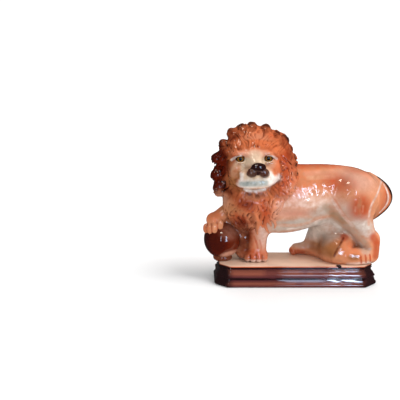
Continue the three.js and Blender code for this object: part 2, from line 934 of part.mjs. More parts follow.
function addLimbs(clay, limbs) {
  for (const { stations, flatness, fillet } of limbs) {
    const radii = stations.map((station) => thick(station[3]));
    clay.limb(stations.map(point), radii, flatness, fillet);
  }
}

// Modelling of the whole figure, from the body outward to the hair.
function modelFigure() {
  const low = point(FIGURE_SPACE.low).min(byBall(BALL_SPACE.low));
  const high = point(FIGURE_SPACE.high).max(byBall(BALL_SPACE.high));
  const floor = PLINTH_HEIGHT - FOOT_SINK;
  low.z = floor - SPARE_SAMPLES * SAMPLE_STEP;
  const clay = new Clay(low, high, SAMPLE_STEP);
  addLimbs(clay, TRUNK);
  addMasses(clay, BODY_MASSES);
  addLimbs(clay, TAIL);
  addLimbs(clay, HIND_LEGS);
  addLimbs(clay, FORELEGS);
  addMasses(clay, LEG_MASSES);
  modelRaisedLeg(clay);
  modelToes(clay);
  addMasses(clay, HEAD_MASSES);
  modelFace(clay);
  layRows(clay, FRONT_LOCKS, -1, [0, 1]);
  layRows(clay, [CHEST_LOCKS], -1, CHEST_SPAN);
  layRows(clay, BACK_LOCKS, 1, BACK_SPAN);
  const ground = new THREE.Box3(low, new THREE.Vector3(high.x, high.y, PLINTH_HEIGHT));
  clay.work(ground, 0, (x, y, z) => z - floor, true);
  return new Thinner(clay.skin()).thin(FIGURE_FACE_COUNT);
}

function modelRaisedLeg(clay) {
  const radii = RAISED_UPPER.map((station) => thick(station[3]));
  const points = [...RAISED_UPPER.map(point), byBall(RAISED_WRIST)];
  clay.limb(points, [...radii, radii.at(-1)], 1, PAW_FILLET);
  for (const { centre, half } of [BALL_CORE, RAISED_WEB, RAISED_PAW, BALL_PAD]) {
    const size = new THREE.Vector3(...half).multiplyScalar(BALL_RADIUS);
    clay.mass(byBall(centre), size, 0, FEATURE_FILLET);
  }
  const toe = new THREE.Vector3(...RAISED_TOE_HALF).multiplyScalar(BALL_RADIUS);
  for (const place of PAW_ON_BALL_TOES) clay.mass(byBall(place), toe, 0, FINE_FILLET);
}

function modelToes(clay) {
  for (const place of TOES) clay.mass(point(place), halfSize(FLOOR_TOE_HALF), 0, FINE_FILLET);
}

function modelFace(clay) {
  const middle = 2 * MANE_CENTRE[0];
  const otherSide = BROW.stations.map(([x, y, z, width]) => [middle - x, y, z, width]);
  addLimbs(clay, [BROW, { ...BROW, stations: otherSide }, NOSE_BRIDGE]);
  addMasses(clay, FACE_MASSES);
  for (const { centre } of EYES) modelEyeSocket(clay, centre);
  addLimbs(clay, [LIP_ROLL]);
  addMasses(clay, NOSE_MASSES);
}

// A hollow in front of the eye, with an upper and a lower lid laid round the ball of glass.
function modelEyeSocket(clay, [x, y, z]) {
  const hollow = point([x, y + EYE_HOLLOW.front, z]);
  clay.mass(hollow, halfSize(EYE_HOLLOW.half), 0, FEATURE_FILLET, true);
  const radius = EYE_DIAMETER / 2;
  for (const lid of [UPPER_LID, LOWER_LID]) {
    const offsets = lid.map((offset) => new THREE.Vector3(...offset).multiplyScalar(radius));
    const points = offsets.map((offset) => offset.add(point([x, y, z])));
    clay.limb(points, points.map(() => LID_THICKNESS * radius), 1, FINE_FILLET);
  }
}

// The plinth: an oblong with canted corners whose moulded edge is mitred all round, built
// from rings of eight corners.
function plinthGeometry() {
  const sides = 8;
  const positions = MOULDING.flatMap(([rise, slope]) => {
    const inset = slope * PLINTH_SLOPE;
    const x = PLINTH_LENGTH / 2 - inset;
    const y = PLINTH_DEPTH / 2 - inset;
    const cant = PLINTH_CORNER - inset * (2 - Math.SQRT2);
    const right = [[x - cant, -y], [x, cant - y], [x, y - cant], [x - cant, y]];
    const ring = [...right, ...right.map(([px, py]) => [-px, -py])];
    return ring.flatMap(([px, py]) => [px, py, rise * PLINTH_HEIGHT]);
  });
  const index = [];
  const top = sides * (MOULDING.length - 1);
  for (let ring = 0; ring < top; ring += sides) {
    for (let n = 0; n < sides; n += 1) {
      const low = ring + n;
      const next = ring + ((n + 1) % sides);
      index.push(low, next, next + sides, low, next + sides, low + sides);
    }
  }
  for (let n = 1; n < sides - 1; n += 1) index.push(0, n + 1, n, top, top + n, top + n + 1);
  const geometry = new THREE.BufferGeometry();
  geometry.setAttribute('position', new THREE.Float32BufferAttribute(positions, 3));
  geometry.setIndex(index);
  return geometry;
}

const wasm = await Module();
wasm.setup();

function solidOf(geometry) {
  const bare = geometry.clone();
  bare.deleteAttribute('normal');
  bare.deleteAttribute('uv');
  const merged = mergeVertices(bare);
  return new wasm.Manifold(new wasm.Mesh({
    numProp: 3,
    vertProperties: merged.attributes.position.array,
    triVerts: new Uint32Array(merged.index.array),
  }));
}

function geometryOf(solid) {
  const mesh = solid.getMesh();
  const geometry = new THREE.BufferGeometry();
  geometry.setAttribute('position', new THREE.BufferAttribute(mesh.vertProperties, 3));
  geometry.setIndex(new THREE.BufferAttribute(mesh.triVerts, 1));
  const faceted = geometry.toNonIndexed();
  faceted.computeVertexNormals();
  return faceted;
}

const ball = new THREE.IcosahedronGeometry(BALL_RADIUS, BALL_STEPS).translate(...BALL_CENTRE);
let pottery = solidOf(plinthGeometry()).add(solidOf(modelFigure())).add(solidOf(ball));

const lion = new THREE.Group();
for (const { name, centre } of EYES) {
  const place = point(centre);
  const socket = new THREE.IcosahedronGeometry(EYE_DIAMETER / 2 + EYE_CLEARANCE, EYE_STEPS);
  pottery = pottery.subtract(solidOf(socket.translate(...place)));
  const ballOfGlass = new THREE.IcosahedronGeometry(EYE_DIAMETER / 2, EYE_STEPS);
  const eye = new THREE.Mesh(ballOfGlass, new THREE.MeshStandardMaterial(GLASS));
  eye.name = name;
  eye.position.copy(place);
  lion.add(eye);
}

const body = new THREE.Mesh(geometryOf(pottery), new THREE.MeshStandardMaterial(GLAZE));
body.name = 'pottery_lion';
lion.add(body);

export default lion;
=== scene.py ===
"""A glazed pottery lion with a forepaw on a ball, on a moulded plinth: its finished looks.

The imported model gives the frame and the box. The figure is modelled again as soft clay, from
the same named shares as the solid but finer, with carved hair, lids and toes. The plinth is
swept by a node tree, and every surface is painted in layers under a clear glaze.
"""
import logging
import math
from abc import ABC, abstractmethod
from collections.abc import Callable, Sequence
from dataclasses import dataclass, field
from enum import Enum
from typing import Any, ClassVar

import bmesh
import bpy
import numpy as np
from bpy.types import Material, Node, NodeSocket, NodeTree, Object
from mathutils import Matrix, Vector


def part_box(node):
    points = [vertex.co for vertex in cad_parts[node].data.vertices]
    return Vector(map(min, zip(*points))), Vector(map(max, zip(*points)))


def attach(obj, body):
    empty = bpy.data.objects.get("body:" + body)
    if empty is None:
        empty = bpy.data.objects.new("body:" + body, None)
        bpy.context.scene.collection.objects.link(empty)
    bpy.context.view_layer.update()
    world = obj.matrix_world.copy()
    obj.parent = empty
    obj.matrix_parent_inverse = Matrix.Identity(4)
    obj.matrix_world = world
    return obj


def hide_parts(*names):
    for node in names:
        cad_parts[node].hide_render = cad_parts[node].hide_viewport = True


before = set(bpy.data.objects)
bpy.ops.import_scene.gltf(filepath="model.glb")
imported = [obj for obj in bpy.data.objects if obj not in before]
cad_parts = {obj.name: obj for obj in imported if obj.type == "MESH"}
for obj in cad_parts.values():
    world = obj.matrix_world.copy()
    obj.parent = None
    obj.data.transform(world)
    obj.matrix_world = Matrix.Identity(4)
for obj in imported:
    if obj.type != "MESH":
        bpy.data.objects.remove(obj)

LOG = logging.getLogger("pottery_lion")
CAD_NODE = "pottery_lion"
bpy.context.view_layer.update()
MM = 0.001
FAR = 1000.0
TINY = 1e-9
SOFTENED_STEPS = 6.0
LEAST_SLOPE = 0.2
GREATEST_MOVE = 0.6
HOLLOW_GAIN = -3.0
CORNERS = tuple((a, b, c) for a in (0, 1) for b in (0, 1) for c in (0, 1))

Array = np.ndarray
Pair = tuple[Array, Array]
Shares = tuple[float, float, float]
Station = tuple[float, float, float, float]
Range = tuple[float, float]


@dataclass(frozen=True)
class Layout:
    """Sizes in millimetres that place every share of the figure.

    Length runs from the raised paw to the tail, depth from front to back, and height starts
    at the top of the plinth.

    Attributes:
        length: Length of the figure.
        depth: Depth that the shares are taken of.
        height: Height of the figure.
        floor: Height of the plinth's top.
        foot_sink: How far the feet reach into the plinth.
        ball_radius: Radius of the ball.
        ball_lift: How far the ball stands above the plinth.
        eye_radius: Radius of an eye.
    """

    length: float = 314.0
    depth: float = 104.0
    height: float = 228.0
    floor: float = 34.0
    foot_sink: float = 4.0
    ball_radius: float = 31.7
    ball_lift: float = 2.6
    eye_radius: float = 6.2

    def point(self, shares: Sequence[float]) -> Array:
        """The place of three shares, in millimetres."""
        x, y, z = shares[:3]
        return np.array([x * self.length, y * self.depth, self.floor + z * self.height])

    def half(self, shares: Sequence[float]) -> Array:
        """Three half sizes given in shares, in millimetres."""
        x, y, z = shares
        return np.array([x * self.length, y * self.depth, z * self.height])

    def thick(self, share: float) -> float:
        """A thickness given as a share of the height, in millimetres."""
        return share * self.height

    @property
    def ball_centre(self) -> Array:
        """Middle of the ball under the raised paw."""
        x, y, _ = self.point((-0.38, 0.019, 0))
        return np.array([x, y, self.floor + self.ball_lift + self.ball_radius])

    def by_ball(self, radii: Sequence[float]) -> Array:
        """A place given in ball radii from the middle of the ball."""
        return self.ball_centre + np.array(radii) * self.ball_radius


LAYOUT = Layout()


@dataclass(frozen=True)
class Mass:
    """A rounded mass of clay.

    Attributes:
        name: What the mass stands for.
        centre: Its middle, in shares of the figure.
        half: Its half sizes, in shares of the figure.
        fillet: How far its seam is rounded, in millimetres.
        turn: Its turn about the depth axis, in degrees.
    """

    name: str
    centre: Shares
    half: Shares
    fillet: float
    turn: float = 0.0


@dataclass(frozen=True)
class Limb:
    """A round limb along stations of length, depth, height and thickness, in shares.

    Attributes:
        name: What the limb stands for.
        stations: Its stations, in shares of the figure.
        fillet: How far its seam is rounded, in millimetres.
        flatness: Its depth against its height.
    """

    name: str
    stations: tuple[Station, ...]
    fillet: float
    flatness: float = 1.0


@dataclass(frozen=True)
class Band:
    """A band of combed strands, lying side by side, their tips over the roots of the next.

    Attributes:
        start: Where the roots lie: on the way over the mane, or a height where the hair falls.
        end: Where the tips lie.
        strands: Number of strands in a whole turn, or their width where the hair falls.
        height: How far they stand out, in millimetres.
        sway: How far they sway, in strand widths.
        waves: Number of half turns in their sway.
    """

    start: float
    end: float
    strands: float
    height: float
    sway: float
    waves: float

    @property
    def falling(self) -> bool:
        """Whether the hair falls, from a height down to another."""
        return self.start > self.end


@dataclass(frozen=True)
class LockRow:
    """A row of locks of hair round the face.

    Attributes:
        start: First share of the way from the face to the edge of the mane.
        end: Last share of that way.
        count: Number of locks in a whole turn.
        radius: Thickness of a lock, in millimetres.
        tip: Thickness of its tip against its middle.
        curl: How far a lock sways, as a share of the way round.
        waves: Number of half turns in its sway.
        span: First and last place round the edge of the mane.
        lift: How far its tip stands above its root, in lock thicknesses.
        fillet: How far its seam is rounded, in millimetres.
    """

    start: float
    end: float
    count: int
    radius: float
    tip: float = 0.6
    curl: float = 0.012
    waves: float = 2.2
    span: Range = (0.0, 1.0)
    lift: float = 0.45
    fillet: float = 0.8


TRUNK = Limb("torso", (
    (-0.21, 0.019, 0.412, 0.193), (-0.121, 0.019, 0.439, 0.237), (-0.038, 0.019, 0.454, 0.25),
    (0.057, 0.01, 0.474, 0.232), (0.159, 0.01, 0.5, 0.206), (0.268, 0.019, 0.496, 0.193),
    (0.344, 0.019, 0.469, 0.18),
), 4.5, 0.68)
BODY_MASSES = (
    Mass("near haunch", (0.299, -0.144, 0.478), (0.127, 0.269, 0.193), 9, 20),
    Mass("far haunch", (0.287, 0.154, 0.469), (0.127, 0.25, 0.193), 11, 12),
    Mass("web inside the tail", (0.408, 0.048, 0.452), (0.076, 0.135, 0.149), 9, 10),
)
TAIL = Limb("tail pressed against the rump", (
    (0.382, 0.038, 0.605, 0.044), (0.433, 0.038, 0.566, 0.042), (0.471, 0.038, 0.518, 0.042),
    (0.487, 0.038, 0.461, 0.042), (0.475, 0.038, 0.408, 0.039), (0.446, 0.038, 0.36, 0.035),
    (0.42, 0.019, 0.322, 0.024),
), 1.6)
HIND_LEGS = (
    Limb("near hind leg", (
        (0.293, -0.154, 0.487, 0.14), (0.309, -0.183, 0.395, 0.118),
        (0.328, -0.192, 0.325, 0.096), (0.35, -0.192, 0.254, 0.079),
        (0.376, -0.183, 0.184, 0.068), (0.395, -0.173, 0.114, 0.064),
        (0.398, -0.183, 0.053, 0.057),
    ), 9, 0.8),
    Limb("far hind leg, set forward", (
        (0.268, 0.212, 0.487, 0.14), (0.242, 0.221, 0.368, 0.136),
        (0.197, 0.24, 0.272, 0.123), (0.156, 0.26, 0.189, 0.088),
        (0.124, 0.279, 0.114, 0.066), (0.108, 0.298, 0.053, 0.057),
    ), 9, 0.75),
    Limb("far hind paw", (
        (0.115, 0.295, 0.048, 0.053), (0.07, 0.305, 0.046, 0.046), (0.032, 0.31, 0.042, 0.042),
    ), 6),
    Limb("bank of clay between the hind feet", (
        (0.134, 0.231, 0.035, 0.048), (0.166, 0.058, 0.035, 0.048),
        (0.197, -0.096, 0.035, 0.053), (0.255, -0.154, 0.044, 0.061),
        (0.331, -0.115, 0.053, 0.061),
    ), 6),
    Limb("near hind paw", (
        (0.268, -0.115, 0.123, 0.057), (0.261, -0.192, 0.079, 0.066),
        (0.28, -0.25, 0.053, 0.066), (0.331, -0.26, 0.053, 0.061),
        (0.376, -0.231, 0.053, 0.053),
    ), 6, 0.95),
    Limb("raised edge of the near hind paw", (
        (0.271, -0.163, 0.171, 0.018), (0.245, -0.231, 0.14, 0.02),
        (0.22, -0.288, 0.096, 0.02), (0.197, -0.317, 0.053, 0.018),
    ), 7),
)
FORELEGS = (
    Limb("near foreleg", (
        (-0.172, -0.135, 0.386, 0.105), (-0.182, -0.115, 0.307, 0.086),
        (-0.188, -0.087, 0.237, 0.072), (-0.193, -0.067, 0.167, 0.067),
        (-0.197, -0.058, 0.105, 0.068), (-0.201, -0.067, 0.057, 0.07),
    ), 9, 0.9),
    Limb("clay between the ball and the foreleg", (
        (-0.261, 0.019, 0.053, 0.061), (-0.274, 0.038, 0.158, 0.061),
    ), 4.5),
)
LEG_MASSES = (
    Mass("near heel", (0.417, -0.154, 0.167), (0.027, 0.077, 0.057), 6),
    Mass("wall between the hind legs", (0.235, 0.14, 0.19), (0.13, 0.15, 0.2), 10, -10),
    Mass("inside of the near thigh", (0.27, 0.05, 0.25), (0.09, 0.14, 0.17), 24, -40),
    Mass("slope before the near hind paw", (0.212, -0.09, 0.085), (0.07, 0.19, 0.1), 12, -20),
    Mass("web behind the near hock", (0.357, -0.02, 0.15), (0.07, 0.16, 0.15), 6),
    Mass("front of the near hind paw", (0.229, -0.212, 0.048), (0.051, 0.135, 0.057), 4.5, -20),
    Mass("near forepaw", (-0.202, -0.087, 0.042), (0.064, 0.144, 0.05), 4.5),
    Mass("breast", (-0.229, -0.03, 0.439), (0.138, 0.32, 0.208), 11),
    Mass("web behind the ball", (-0.28, 0.058, 0.246), (0.083, 0.144, 0.219), 6),
)
MANE = Mass("mane", (-0.226, -0.01, 0.718), (0.169, 0.337, 0.228), 9)
MASK = Mass("mask", (-0.225, -0.144, 0.684), (0.134, 0.26, 0.158), 4.5)
HEAD_MASSES = (
    Mass("chest under the hair", (-0.229, -0.038, 0.439), (0.149, 0.354, 0.227), 11),
    Mass("neck", (-0.134, 0.038, 0.575), (0.143, 0.317, 0.202), 11),
    MANE, MASK,
)
FOREHEAD = Mass("forehead", (-0.226, -0.17, 0.82), (0.105, 0.2, 0.07), 10)
TOES = (
    (-0.25, -0.154, 0.029), (-0.22, -0.178, 0.029), (-0.19, -0.178, 0.029),
    (-0.159, -0.154, 0.029), (0.309, -0.305, 0.028), (0.334, -0.3, 0.03),
    (0.358, -0.292, 0.032), (0.381, -0.282, 0.034), (0.012, 0.26, 0.026),
    (0.008, 0.31, 0.026), (0.014, 0.36, 0.026),
)
TOE_HALF = (0.017, 0.075, 0.03)
PAW_ON_BALL_TOES = (
    (-0.87, -0.18, 0.62), (-0.69, -0.542, 0.68), (-0.44, -0.696, 0.76), (-0.137, -0.627, 0.942),
)
RAISED_UPPER = (
    (-0.28, 0.01, 0.416, 0.084), (-0.331, 0, 0.386, 0.055), (-0.37, -0.01, 0.358, 0.048),
)
RAISED_WRIST = (-0.1, -0.16, 1.34)
BALL_CORE = ((0, 0, 0), (0.94, 0.94, 0.94))
RAISED_WEB = ((0.16, 0.12, 1.02), (0.5, 0.34, 0.26))
RAISED_PAW = ((-0.42, -0.26, 1.1), (0.45, 0.42, 0.41))
BALL_PAD = ((0.02, 0, -0.98), (0.52, 0.55, 0.22))
RAISED_TOE_HALF = (0.17, 0.18, 0.27)
ARM_FILLET = 6.0
PAW_FILLET = 4.5
TOE_FILLET = 1.4

BROW = Limb("brow", (
    (-0.345, -0.285, 0.772, 0.014), (-0.326, -0.325, 0.79, 0.017),
    (-0.296, -0.37, 0.797, 0.019), (-0.255, -0.37, 0.786, 0.018),
), 8)
NOSE_BRIDGE = Limb("bridge of the nose", (
    (-0.228, -0.24, 0.845, 0.05), (-0.226, -0.335, 0.79, 0.046),
    (-0.223, -0.42, 0.746, 0.044), (-0.217, -0.475, 0.711, 0.044),
), 10, 0.8)
LIP_ROLL = Limb("roll of the upper lip", (
    (-0.322, -0.317, 0.602, 0.018), (-0.292, -0.42, 0.6, 0.032),
    (-0.252, -0.485, 0.605, 0.04), (-0.213, -0.505, 0.61, 0.043),
    (-0.175, -0.485, 0.613, 0.041), (-0.14, -0.42, 0.62, 0.033),
    (-0.112, -0.34, 0.63, 0.018),
), 1.6)
FACE_MASSES = (
    Mass("left muzzle pad", (-0.261, -0.413, 0.636), (0.054, 0.144, 0.057), 6),
    Mass("right muzzle pad", (-0.166, -0.413, 0.645), (0.057, 0.135, 0.057), 6),
    Mass("middle of the muzzle", (-0.213, -0.442, 0.654), (0.051, 0.135, 0.061), 6),
    Mass("left cheek", (-0.315, -0.288, 0.675), (0.038, 0.106, 0.083), 6),
    Mass("right cheek", (-0.134, -0.288, 0.684), (0.041, 0.106, 0.083), 6),
)
NOSE_MASSES = (
    Mass("top of the nose", (-0.212, -0.567, 0.719), (0.038, 0.058, 0.03), 1.6),
    Mass("left wing of the nose", (-0.243, -0.548, 0.682), (0.025, 0.063, 0.031), 2),
    Mass("right wing of the nose", (-0.184, -0.548, 0.68), (0.026, 0.063, 0.031), 2),
    Mass("tip of the nose", (-0.214, -0.548, 0.69), (0.02, 0.06, 0.026), 2),
)
NOSE_PAINT = (0.97, 0.7, 0.5, 0.9)
FACE_FRONT = -30.0
NOSE_EDGE = (1.0, 1.25)
NOSE_UNDERCOAT = 0.85
LIP_WHITE_WIDTH = 6.5
LIP_STREAK_WIDTH = 5.0
LIP_STREAK_COVER = 0.75
CHIN = Mass("lower lip and chin", (-0.212, -0.43, 0.582), (0.06, 0.09, 0.024), 5)
NECK_HOLLOW = Mass("hollow under the chin", (-0.212, -0.44, 0.53), (0.09, 0.09, 0.036), 8)
EYE_HOLLOW_FRONT = -0.096
EYE_HOLLOW_HALF = (0.033, 0.077, 0.037)
EYE_HOLLOW_FILLET = 3.5
LID_FILLET = 1.2
LID_THICKNESS = 0.24
LID_PROFILE = (0.6, 1.0, 1.0, 0.6)
LINER_EDGE = (1.0, 2.1)
SOCKET_FILLET = 0.5
UPPER_LID = ((-1.6, 0, -0.1), (-0.6, -0.84, 0.72), (0.6, -0.84, 0.72), (1.6, -0.08, -0.1))
LOWER_LID = ((-1.5, 0, -0.1), (-0.65, -0.7, -0.84), (0.65, -0.7, -0.84), (1.5, -0.08, -0.1))

MANE_CENTRE = (-0.226, 0.684)
MANE_EDGE = (
    (-0.010, 0.684), (-0.019, 0.768), (-0.054, 0.864), (-0.102, 0.925), (-0.166, 0.967),
    (-0.232, 0.980), (-0.287, 0.958), (-0.332, 0.914), (-0.376, 0.848), (-0.414, 0.759),
    (-0.420, 0.636), (-0.412, 0.539), (-0.408, 0.465), (-0.350, 0.395), (-0.296, 0.346),
    (-0.239, 0.289), (-0.178, 0.263), (-0.131, 0.298), (-0.105, 0.377), (-0.067, 0.474),
    (-0.035, 0.548), (-0.016, 0.614),
)
MANE_LOCKS = (
    LockRow(0.78, 0.9, 24, 7.6, 1, 0.004, 1.5, (0.12, 0.56), 0.3, 5),
    LockRow(0.78, 0.9, 36, 6.8, 1, 0.004, 1.5, (-0.22, 0.14), 0.2, 14),
)
KNOBS = (
    (-130, 205, 7.6), (-131, 177, 7), (-127, 155, 6.6), (-119.5, 229, 6.2),
    (-110, 224, 5.4), (-105, 246, 7.6), (-90, 253.5, 7), (-73.5, 257, 6.4),
    (-51, 254, 6), (-34, 244.5, 4.8), (-22, 234.5, 7.6), (-11, 220, 4),
    (-6, 208, 3.8), (-4, 196, 3.6), (-4, 184, 3.4),
)
KNOB_DEPTH = -3.0
KNOB_FILLET = 6.0
KNOB_PAINT_EDGE = (1.0, 1.5)
KNOB_OUTER_SIDE = (0.1, 0.8)
KNOB_BROWN = 0.5
KNOB_DARK = (0.45, 0.8)
KNOB_DARK_PLACES = (-110.0, -80.0)
BACK_SPAN = (-0.06, 0.56)
BACK_LOCKS = (
    LockRow(0.62, 0.92, 20, 6.4, 0.9, 0.008, 1.5, BACK_SPAN, fillet=3),
    LockRow(0.36, 0.7, 14, 6, 0.7, 0.01, 1.5, BACK_SPAN, fillet=3),
    LockRow(0.1, 0.45, 9, 5.6, 0.7, 0.01, 1.5, BACK_SPAN, fillet=3),
)
LOCK_PROFILE = (0.7, 0.9, 1.0, 1.0, 0.95, 0.85)
LOCK_SUNK = 0.6
LOCK_FALL = 0.55
LOCK_SCATTER = 0.22
LOCK_STRETCH = 0.3
LOCK_WIDENING = 0.5
LOCK_LIMIT = 0.995
LOCK_DRIFTS = ((3, 2.3, 1.0), (5, 1.5, 4.0), (11, 0.5, 2.0))
RELIEF_REACH = 5.0
MANE_BANDS = (
    Band(0.14, 0.39, 52, 1.9, 0.5, 2.4),
    Band(0.32, 0.49, 56, 1.9, 0.5, 2.2),
    Band(0.44, 0.62, 46, 1.8, 0.32, 1.6),
    Band(0.57, 0.78, 34, 1.7, 0.3, 1.6),
    Band(0.72, 0.98, 22, 1.6, 0.3, 1.6),
)
CHEST_BANDS = (
    Band(166, 130, 6.2, 2, 0.5, 2.2),
    Band(146, 106, 6.6, 2.6, 0.6, 2.6),
)
SIDE_BANDS = (
    Band(226, 190, 6.8, 2.8, 0.55, 2.4),
    Band(206, 168, 6.6, 3, 0.6, 2.4),
    Band(184, 148, 6.4, 3, 0.6, 2.4),
    Band(162, 128, 6.2, 2.8, 0.6, 2.4),
)
FACE_EDGE = (0.96, 1.08)
FRONT_END = 12.0
SIDE_START = (34.0, 44.0)
SIDE_TOP = (202.0, 224.0)
SIDE_EDGE = (0.98, 1.16)
SIDE_REACH = 52.0
SIDE_SLANT = 0.4
SIDE_JUMP = 160.0
CHEST_TOP = 146.0
CHEST_SEAM = 6.0
CHEST_MIDDLE = -72.0
CHEST_END = (44.0, 58.0)
CHEST_FOOT = (104.0, 116.0)
CHEST_LEAN = -0.3
THROAT_MIDDLE = (-66.0, 153.0)
THROAT_HALF = (16.0, 7.0)
THROAT_EDGE = (0.8, 1.3)
FALLING_STRANDS = 97
STRAND_DRIFTS = (2.4, 1.6)
STRANDS_A_DRIFT = (11, 5)
DRIFT_STARTS = (9, 5)
DRIFT_LEAN = 2.1
CHANCE_SEEDS = (12.9898, 7.1)
STRAND_SCATTER = 0.5
STRAND_COVER = 1.3
STRAND_ROOT = (-0.1, 0.1)
STRAND_TIP = (0.98, 1.1)
TIP_NARROWING = 0.45
TIP_TAPER = (0.6, 1.1)
ROOT_RISE = 0.65
LEAST_RISE = 0.8
RISE_SCATTER = 0.4
GROOVE_POWER = 1.3
GROOVE_LEAST = 0.45
PATCH_WAVES = ((0.31, 0.17), (0.11, 0.23))
PATCH_EDGE = (0.1, 0.6)
EDGE_PLACES = 721
TUFTS = (
    (-99, 128, 100), (-92, 136, 95), (-85, 132, 90), (-77, 138, 98), (-70, 131, 82),
    (-63, 139, 96), (-56, 136, 84), (-50, 131, 97), (-44, 138, 93), (-37, 132, 108),
)
TUFT_PROFILE = (1.0, 2.4, 3.1, 3.3, 3.0, 2.4, 1.3)
TUFT_SWAY = 2.6
TUFT_WAVES = 2.6
TUFT_SHIFT = 0.9
TUFT_FILLET = 1.0
TUFT_LEAN = -0.18
TUFT_SUNK = 0.25


def cad_box(node: str = CAD_NODE) -> Pair:
    """Lowest and highest corner of a CAD node, in millimetres."""
    low, high = (np.asarray(corner, float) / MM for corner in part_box(node))
    return low, high


def between(a: Any, b: Any, c: Any, d: Any, t: Any) -> Any:
    """The point at t on a smooth curve from b to c, with a before them and d after."""
    return 0.5 * (2 * b + (c - a) * t + (2 * a - 5 * b + 4 * c - d) * t * t
                  + (3 * b - a - 3 * c + d) * t ** 3)


def smooth(points: Array, steps: int) -> Array:
    """Points on a smooth curve through the given points.

    Args:
        points: Stations in rows, of any width.
        steps: Number of spans between two neighbours.

    Returns:
        The stations with the points between them.
    """
    points = np.asarray(points, float)
    if len(points) < 3 or steps == 1:
        return points
    ends = [2 * points[0] - points[1], *points, 2 * points[-1] - points[-2]]
    spans = []
    for four in zip(ends, ends[1:], ends[2:], ends[3:]):
        spans += [between(*four, t) for t in np.arange(steps) / steps]
    return np.array([*spans, points[-1]])


def ring_curve(points: Array, place: Array) -> Array:
    """Points on a closed smooth curve at places from 0 to 1 round it."""
    count = len(points)
    at = np.mod(np.asarray(place, float), 1) * count
    first = np.floor(at).astype(int)
    four = (points[(first + n) % count] for n in (-1, 0, 1, 2))
    return between(*four, (at - first)[..., None])


def ramp(value: Array, start: float, end: float) -> Array:
    """A soft step from 0 at the start to 1 at the end."""
    t = np.clip((value - start) / (end - start), 0, 1)
    return t * t * (3 - 2 * t)


def as_if_by_chance(seed: Array) -> Array:
    """A number from 0 to 1 for each seed, always the same for the same seed."""
    return np.mod(np.sin(seed) * 43758.5453, 1)


